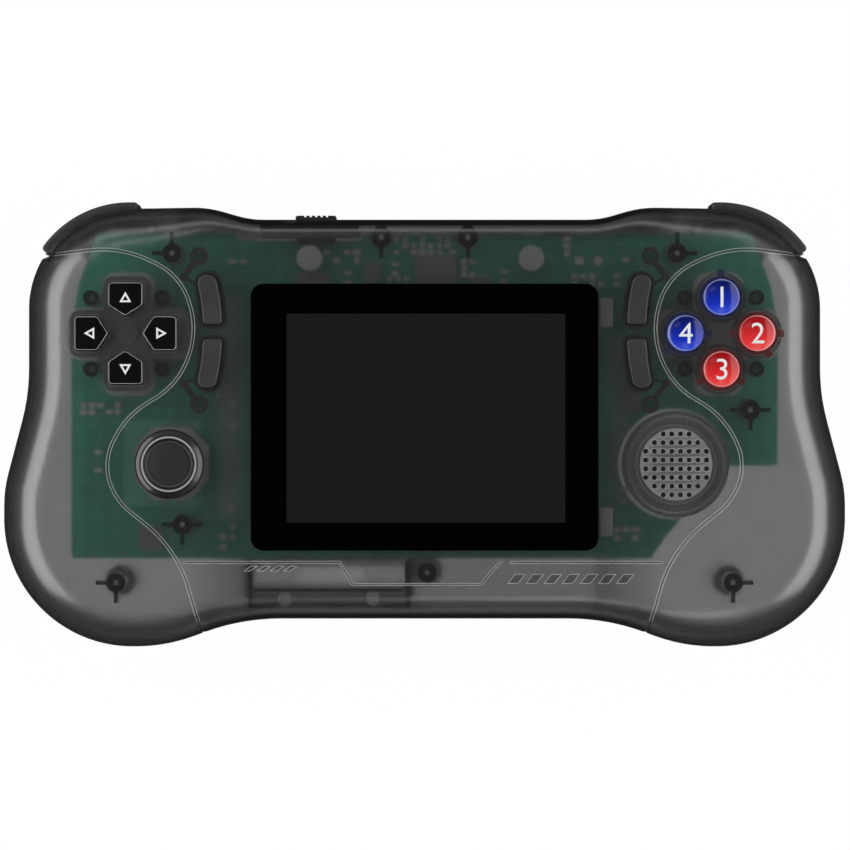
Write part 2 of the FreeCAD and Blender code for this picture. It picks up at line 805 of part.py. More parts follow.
# shoulder buttons: a curved bar round the upper corner, on an upright pin
corner_x = side_width - shoulder_radius
corner_y = shoulder_edge - shoulder_radius


def sector(r0, r1, a0, a1, z0, z1):
    def at(radius, angle):
        turn = math.radians(angle)
        return Vector(-corner_x + radius * math.cos(turn), corner_y + radius * math.sin(turn), z0)
    middle = (a0 + a1) / 2
    edges = [
        Part.Arc(at(r1, a0), at(r1, middle), at(r1, a1)).toShape(),
        Part.LineSegment(at(r1, a1), at(r0, a1)).toShape(),
        Part.Arc(at(r0, a1), at(r0, middle), at(r0, a0)).toShape(),
        Part.LineSegment(at(r0, a0), at(r1, a0)).toShape(),
    ]
    return Part.Face(Part.Wire(edges)).extrude(Vector(0, 0, z1 - z0))


bar_outer = shoulder_radius + shoulder_rise
bar_inner = bar_outer - shoulder_thick
bar = sector(bar_inner, bar_outer, shoulder_from, shoulder_to, shoulder_low, shoulder_high)
long_edges = []
for edge in bar.Edges:
    flat = edge.BoundBox.ZLength < 1e-5
    a = edge.valueAt(edge.FirstParameter)
    distance = math.hypot(a.x + corner_x, a.y - corner_y)
    if flat and edge.Length > 5 and distance > bar_inner + 0.1:
        long_edges.append(edge)
bar = bar.makeFillet(0.7, long_edges)
ends = [e for e in bar.Edges if abs(e.BoundBox.ZLength) > 5
        and math.hypot(e.valueAt(e.FirstParameter).x + corner_x, e.valueAt(e.FirstParameter).y - corner_y)
        > bar_outer - 0.1]
bar = bar.makeFillet(0.9, ends)
web_at = (-corner_x - 1.6, corner_y + bar_inner + 0.5)
web = plate([(-hinge_x - 0.4, hinge_y - hinge_eye, 0), (-hinge_x, hinge_y + hinge_eye * 0.6, 0),
             (-corner_x + 0.4, corner_y + shoulder_radius - wall - 0.6, 0),
             (-corner_x + 0.2, web_at[1], 0), (web_at[0] - 1.6, web_at[1], 0),
             (web_at[0] - 1.6, hinge_y - 0.6, 0)], shoulder_web_low, shoulder_web_high)
eye = disc(-hinge_x, hinge_y, shoulder_web_low, shoulder_web_high, hinge_eye)
plunger_angle = 120.0
plunger_tip = shoulder_radius - wall - 1.5
plunger = sector(plunger_tip, bar_inner + 0.4, plunger_angle - 4, plunger_angle + 4,
                 shoulder_web_low, shoulder_web_high - 0.6)
shoulder = joined([bar, web, eye, plunger])
shoulder = shoulder.cut(disc(-hinge_x, hinge_y, shoulder_web_low - 1, shoulder_web_high + 1,
                             hinge_pin_radius + hinge_fit))
nodes["shoulder_button_left"] = shoulder
nodes["shoulder_button_right"] = flipped(shoulder)
pin_low = shoulder_web_low - 4.0
pin_high = shoulder_web_high + 0.4
pin = disc(-hinge_x, hinge_y, pin_low, pin_high, hinge_pin_radius)
nodes["shoulder_pins"] = Part.makeCompound([pin, flipped(pin)])
swing_gap_angle = math.degrees(shoulder_swing_gap / shoulder_radius)
gap_angle = math.degrees(shoulder_gap / shoulder_radius)
shoulder_window = sector(plunger_tip - 2.5, bar_outer + 4, shoulder_from - gap_angle,
                         shoulder_to + swing_gap_angle, shoulder_low - shoulder_gap,
                         shoulder_high + shoulder_gap)
shoulder_windows = [shoulder_window, flipped(shoulder_window)]
pin_post = disc(-hinge_x, hinge_y, -1, shoulder_web_low - shoulder_gap, hinge_eye + 0.2)
pin_hole = disc(-hinge_x, hinge_y, pin_low, shoulder_web_low + 1, hinge_pin_radius)
pin_clear = disc(-hinge_x, hinge_y, shoulder_web_low - shoulder_gap, shoulder_web_high + 0.6, hinge_eye + 0.35)

# switches under the board that the shoulder buttons push
switch_deep = 3.6
switch_wide = 6.0
switch_out = plunger_tip - switch_tip_gap
switch_body = box(-corner_x + switch_out - 0.9 - switch_deep, -corner_x + switch_out - 0.9,
                  corner_y - switch_wide / 2, corner_y + switch_wide / 2, board_low - 3.4, board_low)
switch_stub = box(-corner_x + switch_out - 1.4, -corner_x + switch_out, corner_y - 1.2, corner_y + 1.2,
                  board_low - 2.6, board_low - 0.9)
shoulder_switch = turned(joined([switch_body, switch_stub]), -corner_x, corner_y, plunger_angle)
nodes["shoulder_switches"] = Part.makeCompound([shoulder_switch, flipped(shoulder_switch)])

# power slider in the top wall
wall_inside = top_edge - wall
slider_z = board_top + slider_z_over_board
plate_back = wall_inside - slider_gap - slider_plate_thick
slide_x = slider_x - slider_plate_shift
slide_plate = box(slide_x - slider_plate_width / 2, slide_x + slider_plate_width / 2, plate_back,
                  plate_back + slider_plate_thick, slider_z - slider_plate_height / 2,
                  slider_z + slider_plate_height / 2)
knob = box(slider_x - slider_knob_width / 2, slider_x + slider_knob_width / 2, plate_back,
           top_edge + slider_knob_out, slider_z - slider_knob_height / 2, slider_z + slider_knob_height / 2)
upright = [e for e in knob.Edges if e.BoundBox.ZLength > 1 and abs(e.BoundBox.YMax - knob.BoundBox.YMax) < 1e-6]
knob = knob.makeFillet(0.5, upright)
grips = []
for step in (-2, -1, 0, 1, 2):
    grips.append(box(slider_x + step * 1.2 - 0.25, slider_x + step * 1.2 + 0.25, top_edge + slider_knob_out - 0.35,
                     top_edge + slider_knob_out + 1, slider_z - 3, slider_z + 3))
nodes["power_slider"] = joined([slide_plate, knob]).cut(grips)
slider_window = box(slider_x - slider_knob_width / 2 - slider_travel - slider_gap,
                    slider_x + slider_knob_width / 2 + slider_gap, wall_inside - 1, top_edge + 2,
                    slider_z - slider_knob_height / 2 - slider_gap, slider_z + slider_knob_height / 2 + slider_gap)
switch_length = 8.6
switch_height = 3.4
switch_depth = 1.3
nodes["power_switch"] = box(slider_x - switch_length / 2, slider_x + switch_length / 2,
                            plate_back - slider_gap - switch_depth, plate_back - slider_gap, board_top,
                            board_top + switch_height)

# sockets at the board's top edge
jack_z = board_low - jack_bore - 1.15
jack_back = wall_inside - socket_gap - jack_deep
jack = box(jack_x - jack_wide / 2, jack_x + jack_wide / 2, jack_back, wall_inside - socket_gap,
           jack_z - jack_bore - 0.5, board_low)
nose = Part.makeCylinder(jack_bore + 0.85, wall - 0.2 + socket_gap, Vector(jack_x, wall_inside - socket_gap, jack_z),
                         Vector(0, 1, 0))
jack_hole = Part.makeCylinder(jack_bore, jack_deep + wall, Vector(jack_x, jack_back + 1.5, jack_z), Vector(0, 1, 0))
nodes["av_jack"] = joined([jack, nose]).cut(jack_hole)
jack_window = Part.makeCylinder(jack_bore + 0.85 + socket_gap, 6, Vector(jack_x, wall_inside - 2, jack_z),
                                Vector(0, 1, 0))
port_low = board_low - port_high
port_z = port_low + port_high / 2
port_back = top_edge - 0.5 - port_deep
port = box(port_x - port_wide / 2, port_x + port_wide / 2, port_back, top_edge - 0.5, port_low, board_low)
port_hollow = box(port_x - port_wide / 2 + port_wall, port_x + port_wide / 2 - port_wall, port_back + 1.5,
                  top_edge, port_low + port_wall, board_low - port_wall)
tongue = box(port_x - port_wide / 2 + 1.3, port_x + port_wide / 2 - 1.3, port_back + 1.0, top_edge - 2.2,
             port_z - 0.4, port_z + 0.4)
nodes["charge_port"] = port.cut(port_hollow).fuse(tongue).removeSplitter()
port_window = box(port_x - port_wide / 2 - socket_gap, port_x + port_wide / 2 + socket_gap, wall_inside - 2,
                  top_edge + 2, port_low - socket_gap, board_low + socket_gap)

# screen: lens in the front, display module behind it, holder under the module
lens_outline = rectangle(0, lens_y, lens_width, lens_height, lens_corner)
lens_top = body_depth - lens_sink
lens_low = lens_top - lens_thick
nodes["screen_lens"] = plate(lens_outline, lens_low, lens_top)
lens_recess = plate(inset(lens_outline, -lens_gap), lens_low, body_depth + 1)
lens_mouth = plate(inset(lens_outline, lens_ledge), front_inner - 1, body_depth + 1)
screen_top = lens_low - screen_air
screen_low = screen_top - screen_thick
module = box(screen_x - screen_width / 2 - screen_border, screen_x + screen_width / 2 + screen_border,
             screen_y - screen_height / 2 - screen_border, screen_y + screen_height / 2 + screen_border,
             screen_low, screen_top)
screen_panel_sink = 0.3
glass_low = screen_top - screen_panel_sink - 0.5
bezel_cut = box(screen_x - screen_width / 2, screen_x + screen_width / 2, screen_y - screen_height / 2,
                screen_y + screen_height / 2, glass_low, screen_top + 1)
nodes["display_module"] = module.cut(bezel_cut)
nodes["display_panel"] = box(screen_x - screen_width / 2 + 0.1, screen_x + screen_width / 2 - 0.1,
                             screen_y - screen_height / 2 + 0.1, screen_y + screen_height / 2 - 0.1,
                             glass_low, screen_top - screen_panel_sink)
module_pocket = box(screen_x - screen_width / 2 - screen_border - 0.2,
                    screen_x + screen_width / 2 + screen_border + 0.2,
                    screen_y - screen_height / 2 - screen_border - 0.2,
                    screen_y + screen_height / 2 + screen_border + 0.2, front_inner - 5, screen_top + 0.2)
holder_top = screen_low - holder_gap
holder_low = holder_top - holder_thick
holder_half = screen_width / 2 + screen_border + 1.4
holder = [box(screen_x - holder_half, screen_x + holder_half, screen_y - screen_height / 2 - screen_border,
              screen_y + screen_height / 2 + screen_border, holder_low, holder_top)]
holder_feet = []
for sx in (-1, 1):
    for y in (lens_y + lens_height / 2 - 6.2, lens_y - lens_height / 2 + 6.2):
        x0 = screen_x + sx * (holder_half - 2)
        x1 = screen_x + sx * (lens_width / 2 + holder_tab_reach)
        if sx < 0:
            x1 = screen_x + sx * (holder_half + 0.6)
        holder.append(box(min(x0, x1), max(x0, x1), y - holder_tab_length / 2, y + holder_tab_length / 2,
                          holder_low, holder_top))
        foot_x = screen_x + sx * (holder_half - 1.2)
        holder_feet.append(box(foot_x - 0.8, foot_x + 0.8, y - 1.6, y + 1.6, board_top, holder_low))
nodes["display_holder"] = joined(holder + holder_feet)
tab_x = screen_x + lens_width / 2 + holder_tab_reach
pads = []
for y in (lens_y + lens_height / 2 - 6.2, lens_y - lens_height / 2 + 6.2):
    pads.append(box(tab_x - holder_tab_reach + 0.3, tab_x, y - holder_tab_length / 2, y + holder_tab_length / 2,
                    holder_top, holder_top + 1.4))
nodes["holder_pads"] = Part.makeCompound(pads)

# flat ribbon from the module to its connector on the board
ribbon_thick = 0.15
ribbon_wide = 24.0
ribbon_x = screen_x + 8.0
ribbon_edge = screen_y - screen_height / 2 - screen_border
connector_top = board_top + 1.1
bend = (screen_low + 0.5 - connector_top) / 2


def ribbon_loop(radius):
    mid_z = (screen_low + 0.5 + connector_top) / 2
    high, low = mid_z + radius, mid_z - radius
    return high, low, mid_z


outer_high, outer_low, ribbon_mid = ribbon_loop(bend)
inner_high, inner_low, ribbon_mid = ribbon_loop(bend - ribbon_thick)
start_y = ribbon_edge
turn_y = ribbon_edge - 1.0
end_y = ribbon_edge + 2.5
ribbon_path = [
    Part.LineSegment(Vector(0, start_y, outer_high), Vector(0, turn_y, outer_high)).toShape(),
    Part.Arc(Vector(0, turn_y, outer_high), Vector(0, turn_y - bend, ribbon_mid), Vector(0, turn_y, outer_low)).toShape(),
    Part.LineSegment(Vector(0, turn_y, outer_low), Vector(0, end_y, outer_low)).toShape(),
    Part.LineSegment(Vector(0, end_y, outer_low), Vector(0, end_y, inner_low)).toShape(),
    Part.LineSegment(Vector(0, end_y, inner_low), Vector(0, turn_y, inner_low)).toShape(),
    Part.Arc(Vector(0, turn_y, inner_low), Vector(0, turn_y - bend + ribbon_thick, ribbon_mid),
             Vector(0, turn_y, inner_high)).toShape(),
    Part.LineSegment(Vector(0, turn_y, inner_high), Vector(0, start_y, inner_high)).toShape(),
    Part.LineSegment(Vector(0, start_y, inner_high), Vector(0, start_y, outer_high)).toShape(),
]
ribbon_face = Part.Face(Part.Wire(ribbon_path))
ribbon = ribbon_face.extrude(Vector(ribbon_wide, 0, 0))
ribbon.translate(Vector(ribbon_x - ribbon_wide / 2, 0, 0))
nodes["display_ribbon"] = ribbon
nodes["ribbon_connector"] = box(ribbon_x - ribbon_wide / 2 - 1.5, ribbon_x + ribbon_wide / 2 + 1.5,
                                end_y - 2.0, end_y + 2.5, board_top, connector_top)

# main board
board_side = side_width - board_side_gap
board_top_y = top_edge - 2.9
board_step_y = plate_back - 0.5
board_bottom = -29.4
board_step_x = speaker_x - 4.9
board_points = [
    (-board_side + 5.7, board_top_y, 0.5), (-board_side + 1.6, 31.0, 1.0), (-board_side, 22.0, 1.0),
    (-board_side, board_bottom, 0.8), (board_step_x, board_bottom, 0.8), (board_step_x + 3.4, -24.5, 1.0),
    (board_side - 11.5, -9.0, 0.5), (board_side, -9.0, 0.8), (board_side, 22.0, 1.0),
    (board_side - 1.6, 31.0, 1.0), (board_side - 6.0, board_top_y, 0.5),
]
board = plate(board_points, board_low, board_top)
board_cuts = [
    box(slide_x - slider_plate_width / 2 - slider_travel - 3.5, slide_x + slider_plate_width / 2 + 0.6,
        board_step_y, board_top_y + 1, board_low - 1, board_top + 1),
    disc(speaker_x, speaker_y, board_low - 1, board_top + 1, speaker_radius + 1.6),
]
for x, y in screw_spots:
    board_cuts.append(disc(x, y, board_low - 1, board_top + 1, boss_radius + board_clear))
nodes["main_board"] = board.cut(board_cuts)

chip_row = board_top_y - 11.4
chips = []
for x, y, w, h, t in ((-24.5, chip_row, 7.0, 4.4, 1.4), (-11.5, chip_row + 2.7, 3.6, 4.4, 1.2),
                      (2.5, chip_row + 2.8, 9.0, 7.0, 1.3), (12.5, chip_row + 0.2, 4.0, 3.0, 1.1),
                      (25.0, chip_row - 2.2, 5.0, 3.6, 1.2), (stick_x - 5.0, board_bottom + 4.4, 5.0, 4.0, 1.2),
                      (key_x - 2.3, 6.0, 4.0, 5.0, 1.2)):
    chips.append(box(x - w / 2, x + w / 2, y - h / 2, y + h / 2, board_top, board_top + t))
nodes["board_chips"] = Part.makeCompound(chips)
small_parts = []
for x, y in ((-17.0, chip_row + 2.7), (-17.0, chip_row + 0.7), (-6.5, chip_row + 4.7), (-6.5, chip_row + 2.7),
             (6.2, chip_row + 7.4), (17.5, chip_row + 3.0), (17.5, chip_row + 1.0), (key_x - 3.3, chip_row + 5.7),
             (key_x - 5.3, chip_row + 2.2), (key_x - 5.3, chip_row + 0.2), (7.8 - key_x, chip_row + 5.2),
             (5.3 - key_x, chip_row + 5.2), (5.3 - key_x, 5.0), (5.3 - key_x, 0.0),
             (6.0 - board_side, -6.0), (6.0 - board_side, -10.0), (key_x - 3.8, -14.0), (key_x - 3.8, -17.0)):
    small_parts.append(box(x - 0.8, x + 0.8, y - 0.45, y + 0.45, board_top, board_top + 0.7))
nodes["board_small_parts"] = Part.makeCompound(small_parts)
lamps = []
lamp_y = 36.2
for x in (34.1, 38.3):
    lamps.append(box(x - 0.9, x + 0.9, lamp_y - 0.9, lamp_y + 0.9, board_top, board_top + 1.0))
nodes["status_lamps"] = Part.makeCompound(lamps)
coils = []
coil_y = 36.7
coil_radius = 2.8
for x in (-25.3, 23.5):
    foot = disc(x, coil_y, board_top, board_top + 1.2, coil_radius - 0.6)
    coils.append(foot.fuse(disc(x, coil_y, board_top + 1.2, board_top + 3.4, coil_radius)).removeSplitter())
nodes["board_coils"] = Part.makeCompound(coils)
key_switches = []
for side in (-1, 1):
    for up, y in ((1, upper_key_y), (-1, lower_key_y)):
        x = side * (key_x - 0.7 * key_lean)
        swing_at = key_length + 4.5
        clear = key_flange_low - swing_at * math.sin(math.radians(key_swing)) - 0.3
        body_of = box(x - 1.9, x + 1.9, y - 1.9, y + 1.9, board_top, board_top + 1.6)
        key_switches.append(body_of.fuse(disc(x, y, board_top, clear, 1.0)).removeSplitter())
nodes["key_switches"] = Part.makeCompound(key_switches)

# battery, its compartment, contacts and door
door_low = centre_back
door_top = door_low + door_thick
cell_low = door_top + cell_room
cell_top = cell_low + cell_thick
case_inside = [cell_x - cell_wide / 2 - cell_gap, cell_x + cell_wide / 2 + cell_gap,
               cell_y - cell_long / 2 - cell_gap - latch_room, cell_y + cell_long / 2 + cell_gap + contact_room]
cell_points = rectangle(cell_x, cell_y, cell_wide, cell_long, 2.0)
nodes["battery"] = plate(cell_points, cell_low, cell_top)
x0, x1, y0, y1 = case_inside
case_top = cell_top + cell_room + case_roof
battery_case = box(x0 - case_wall, x1 + case_wall, y0 - case_wall, y1 + case_wall, centre_back, case_top)
case_hollow = box(x0, x1, y0, y1, centre_back - 1, cell_top + cell_room)
latch_roof = box(x0, x1, y0, y0 + latch_room - 1.0, cell_top, case_top + 1)
latch_gap = box(cell_x - latch_width / 2, cell_x + latch_width / 2, y0 - case_wall - 1, y0 + 1,
                door_top + 1, case_top + 1)
latch_gap = latch_gap.common(inner)
door_outline = rectangle((x0 + x1) / 2, (y0 + y1) / 2, x1 - x0 + 2 * door_ledge, y1 - y0 + 2 * door_ledge,
                         door_corner)
door = plate(inset(door_outline, door_gap), door_low, door_top)
door_opening = plate(door_outline, door_low - 1, door_top)
hooks = []
for x in (cell_x - 10, cell_x + 10):
    hooks.append(box(x - 2, x + 2, y1 - 1.0, y1 - 0.2, door_low, door_top + 0.25))
finger = Part.makeCylinder(7.0, 14, Vector(cell_x - 7, y0 + 3.5, door_low - 6.2), Vector(1, 0, 0))
ridge = box(x0 + door_gap, x1 - door_gap, y0 + door_gap, y0 + door_gap + ridge_thick, door_low, door_top + ridge_tall)
nodes["battery_door"] = joined([door, ridge] + hooks).cut(finger)
contacts = []
for x in (-4.5, 0.0, 4.5):
    blade = box(cell_x + x - 0.8, cell_x + x + 0.8, y1 - contact_thick, y1, cell_low + 0.6, cell_top - 0.4)
    spring = box(cell_x + x - 0.8, cell_x + x + 0.8, y1 - contact_room + 0.2, y1 - contact_thick,
                 cell_low + 1.8, cell_low + 2.2)
    contacts.append(blade.fuse(spring).removeSplitter())
nodes["battery_contacts"] = Part.makeCompound(contacts)

# front shell
front = outer.common(layer(seam_height, body_depth + 5)).cut(inner)
front = front.cut(layer(seam_height - 1, seam_height + lip_height + lip_gap).common(body(lip_line - lip_gap)))
front_inside = front_bosses + ring_posts + key_posts + button_guides + [speaker_collar]
front_inside = [s.common(skin) for s in front_inside]
front = front.fuse(front_inside)
front = front.cut(guide_slots)
front = front.fuse(grille_dome_solid)
band = wing_band(groove_width).cut(body(groove_depth))
core = wing_band(groove_core_width).cut(body(groove_core_depth))
trim = []
trim_line = -30.0
trim_depth = 0.3
slant = 1.6


def slanted(x, low, high, width):
    return [(x - width / 2 - slant / 2, low, 0), (x + width / 2 - slant / 2, low, 0),
            (x + width / 2 + slant / 2, high, 0), (x - width / 2 + slant / 2, high, 0)]


trim_low = body_depth - trim_depth
trim.append(box(pad_x + 12.6, -18.5, trim_line - 0.25, trim_line + 0.25, trim_low, body_depth + 1))
trim.append(plate([(-18.9, trim_line + 0.25, 0), (-15.9, trim_line - 5.0, 0), (12.4, trim_line - 5.0, 0),
                   (17.0, trim_line + 0.25, 0), (16.4, trim_line + 0.25, 0), (12.1, trim_line - 4.6, 0),
                   (-15.6, trim_line - 4.6, 0), (-18.4, trim_line + 0.25, 0)], trim_low, body_depth + 1))
trim.append(box(18.8, face_x - 12.8, trim_line - 0.25, trim_line + 0.25, trim_low, body_depth + 1))
for i in range(4):
    trim.append(plate(slanted(-38.0 + 2.9 * i, trim_line - 1.9, trim_line - 0.8, 1.4), trim_low, body_depth + 1))
for i in range(7):
    trim.append(plate(slanted(20.1 + 3.95 * i, trim_line - 4.6, trim_line - 2.6, 2.2), trim_low, body_depth + 1))
front_cuts = [band, core, flipped(band), flipped(core), lens_recess, lens_mouth, module_pocket]
front_cuts += pad_openings + button_openings + key_openings + ring_bores + boss_bores + grille_cuts
front_cuts += [slider_window, jack_window, port_window] + shoulder_windows
front_cuts += [disc(stick_x, stick_y, front_inner - 1, body_depth + 1, stick_hole)]
front = front.cut(front_cuts + trim)
front = front.cut([pin_clear, flipped(pin_clear)])
front = front.removeSplitter()
nodes["front_shell"] = front

# rear shell
rear = outer.common(layer(-5, seam_height)).cut(inner)
lip = body(lip_line).cut(inner).common(layer(seam_height - 1, seam_height + lip_height))
rear_inside = [s.common(skin) for s in rear_tubes + [pin_post, flipped(pin_post)]]
rear = rear.fuse([lip.cut(lip_notches)] + rear_inside + [battery_case.common(skin)])
rear = rear.cut(tube_holes + shoulder_windows + [case_hollow, door_opening, pin_hole, flipped(pin_hole)])
rear = rear.cut([latch_roof, latch_gap])
rear = rear.cut([pin_clear, flipped(pin_clear), jack_window, port_window])
rear = rear.removeSplitter()
nodes["rear_shell"] = rear

for name, shape in nodes.items():
    shape.exportStep("parts/%s.step" % name)
    print(name, len(shape.Solids), shape.isValid(), round(shape.Volume, 1))
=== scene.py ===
import bpy
import bmesh
import math
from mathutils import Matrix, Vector
from mathutils.bvhtree import BVHTree


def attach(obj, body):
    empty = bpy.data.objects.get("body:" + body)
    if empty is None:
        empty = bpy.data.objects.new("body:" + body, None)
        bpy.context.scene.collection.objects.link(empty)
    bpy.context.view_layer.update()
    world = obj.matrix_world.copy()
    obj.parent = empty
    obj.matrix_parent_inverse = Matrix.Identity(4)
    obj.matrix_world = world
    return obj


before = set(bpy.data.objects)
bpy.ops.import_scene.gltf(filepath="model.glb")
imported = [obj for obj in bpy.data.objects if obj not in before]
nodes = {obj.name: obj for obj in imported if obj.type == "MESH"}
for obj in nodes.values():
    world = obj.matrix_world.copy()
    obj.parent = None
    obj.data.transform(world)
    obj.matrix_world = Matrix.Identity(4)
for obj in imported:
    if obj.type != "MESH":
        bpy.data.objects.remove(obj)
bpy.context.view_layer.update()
mm = 0.001
print("frame loaded, nodes:", len(nodes))


# small helpers for node trees

def feed(tree, socket, value):
    # a link where the value is another node's socket, and otherwise a plain number or colour
    if isinstance(value, bpy.types.NodeSocket):
        tree.links.new(value, socket)
    elif socket.type == "RGBA":
        socket.default_value = (*value, 1)
    else:
        socket.default_value = value


def addNode(tree, kind, feeds=None, **settings):
    node = tree.nodes.new(kind)
    for key, value in settings.items():
        setattr(node, key, value)
    for name, value in (feeds or {}).items():
        feed(tree, node.inputs[name], value)
    return node


def grey(level):
    return (level, level, level)


def calc(tree, operation, *values, clamp=False):
    node = addNode(tree, "ShaderNodeMath", dict(enumerate(values)), operation=operation, use_clamp=clamp)
    return node.outputs[0]


def objectPlace(tree):
    return addNode(tree, "ShaderNodeTexCoord").outputs["Object"]


def objectSplit(tree):
    return addNode(tree, "ShaderNodeSeparateXYZ", {0: objectPlace(tree)}).outputs


def smoothRamp(tree, value, start, end):
    # 0 at the start, 1 at the end, with a soft run between them
    ramp = addNode(tree, "ShaderNodeMapRange", {"Value": value, "From Min": start, "From Max": end},
                   interpolation_type="SMOOTHSTEP")
    return ramp.outputs["Result"]


def layColor(tree, below, color, mask, blend="MIX"):
    # one colour over another where the mask is 1
    mix = addNode(tree, "ShaderNodeMix", {"Factor": mask, "A": below, "B": color}, data_type="RGBA",
                  blend_type=blend)
    return mix.outputs["Result"]


def newGroup(name, inputs, outputs, kind="ShaderNodeTree"):
    # a node group with sockets given as name, kind and, for inputs, a default
    group = bpy.data.node_groups.new(name, kind)
    for way, sockets in (("INPUT", inputs), ("OUTPUT", outputs)):
        for socketName, socketKind, *default in sockets:
            made = group.interface.new_socket(name=socketName, in_out=way,
                                              socket_type="NodeSocket" + socketKind)
            if default:
                made.default_value = default[0]
    return group, addNode(group, "NodeGroupInput").outputs, addNode(group, "NodeGroupOutput").inputs


def newMaterial(name):
    material = bpy.data.materials.new(name)
    material.use_nodes = True
    material.node_tree.nodes.clear()
    return material, material.node_tree


def finishMaterial(tree, shader, volume=None):
    out = addNode(tree, "ShaderNodeOutputMaterial", {"Surface": shader.outputs[0]})
    if volume:
        feed(tree, out.inputs["Volume"], volume.outputs[0])


# shader groups shared by the materials

patterns = dict(grainDetail=3.0, patchDetail=4.0, tintDetail=5.0, tintFrom=0.35, tintTo=0.68,
                fleckChance=0.12, underRun=0.1)


def makeGrainGroup():
    group, ins, outs = newGroup("mouldedGrain", [
        ("Grain Scale", "Float", 900.0), ("Patch Scale", "Float", 40.0), ("Base Roughness", "Float", 0.4),
        ("Roughness Spread", "Float", 0.1)], [("Height", "Float"), ("Roughness", "Float")])
    place = objectPlace(group)
    fine, broad = [addNode(group, "ShaderNodeTexNoise", {
        "Vector": place, "Scale": ins[scale], "Detail": patterns[detail]}).outputs["Fac"]
        for scale, detail in (("Grain Scale", "grainDetail"), ("Patch Scale", "patchDetail"))]
    shift = calc(group, "SUBTRACT", broad, 0.5)
    feed(group, outs["Height"], fine)
    feed(group, outs["Roughness"], calc(group, "MULTIPLY_ADD", shift, ins["Roughness Spread"],
                                        ins["Base Roughness"]))
    return group


def makeTintGroup():
    group, ins, outs = newGroup("unevenTint", [
        ("Main", "Color", (0.1, 0.1, 0.1, 1)), ("Aside", "Color", (0.15, 0.15, 0.15, 1)),
        ("Scale", "Float", 60.0), ("Share", "Float", 1.0)], [("Color", "Color")])
    noise = addNode(group, "ShaderNodeTexNoise", {"Vector": objectPlace(group), "Scale": ins["Scale"],
                                                  "Detail": patterns["tintDetail"]})
    ramp = addNode(group, "ShaderNodeMapRange", {
        "Value": noise.outputs["Fac"], "From Min": patterns["tintFrom"], "From Max": patterns["tintTo"]})
    share = calc(group, "MULTIPLY", ramp.outputs["Result"], ins["Share"])
    feed(group, outs["Color"], layColor(group, ins["Main"], ins["Aside"], share))
    return group


def makeBoxMaskGroup():
    group, ins, outs = newGroup("boxMask", [
        ("Center X", "Float", 0.0), ("Center Y", "Float", 0.0), ("Half X", "Float", 0.01),
        ("Half Y", "Float", 0.01), ("Soft", "Float", 0.0002)], [("Mask", "Float")])
    spot = objectSplit(group)
    sides = []
    for axis in ("X", "Y"):
        away = calc(group, "ABSOLUTE", calc(group, "SUBTRACT", spot[axis], ins["Center " + axis]))
        inside = calc(group, "SUBTRACT", ins["Half " + axis], away)
        sides.append(calc(group, "DIVIDE", inside, ins["Soft"], clamp=True))
    feed(group, outs["Mask"], calc(group, "MULTIPLY", *sides))
    return group


def makeLevelMaskGroup():
    # 0 below Low, 1 above High, along the object's Z
    group, ins, outs = newGroup("levelMask", [("Low", "Float", 0.0), ("High", "Float", 0.001)],
                                [("Mask", "Float")])
    ramp = addNode(group, "ShaderNodeMapRange", {"Value": objectSplit(group)["Z"], "From Min": ins["Low"],
                                                 "From Max": ins["High"]})
    feed(group, outs["Mask"], ramp.outputs["Result"])
    return group


def makeFleckGroup():
    # sparse dust: a small dot in a few of the cells
    group, ins, outs = newGroup("dustFlecks", [("Scale", "Float", 900.0), ("Size", "Float", 0.08)],
                                [("Mask", "Float")])
    cells = addNode(group, "ShaderNodeTexVoronoi", {"Vector": objectPlace(group),
                                                    "Scale": ins["Scale"]}).outputs
    chance = addNode(group, "ShaderNodeSeparateColor", {"Color": cells["Color"]}).outputs["Red"]
    small = calc(group, "LESS_THAN", cells["Distance"], ins["Size"])
    few = calc(group, "LESS_THAN", chance, patterns["fleckChance"])
    feed(group, outs["Mask"], calc(group, "MULTIPLY", small, few))
    return group


grainGroup = makeGrainGroup()
tintGroup = makeTintGroup()
boxMaskGroup = makeBoxMaskGroup()
levelMaskGroup = makeLevelMaskGroup()
fleckGroup = makeFleckGroup()


def boxMask(tree, x, y, halfX, halfY, soft):
    mask = addNode(tree, "ShaderNodeGroup", {"Center X": x, "Center Y": y, "Half X": halfX, "Half Y": halfY,
                                             "Soft": soft}, node_tree=boxMaskGroup)
    return mask.outputs["Mask"]


def ringMask(tree, x, y, inner, outer, soft):
    # 1 between two radii about an upright axis
    spot = objectSplit(tree)
    flat = addNode(tree, "ShaderNodeCombineXYZ", {"X": spot["X"], "Y": spot["Y"]})
    away = addNode(tree, "ShaderNodeVectorMath", {0: flat.outputs[0], 1: (x, y, 0.0)},
                   operation="DISTANCE").outputs["Value"]
    edges = [smoothRamp(tree, away, edge - soft, edge + soft) for edge in (inner, outer)]
    return calc(tree, "SUBTRACT", *edges, clamp=True)


# what a finish has where its own settings don't say otherwise
plainLook = dict(grain=2500.0, patch=90.0, roughSpread=0.12, tintScale=120.0, tintShare=0.6, bump=0.15,
                 bumpDepth=0.00005, metallic=0.0, ior=1.48, coat=0.0, coatRoughness=0.05, alpha=1.0,
                 clear=0.0, asideTimes=1.35, asidePlus=0.004)


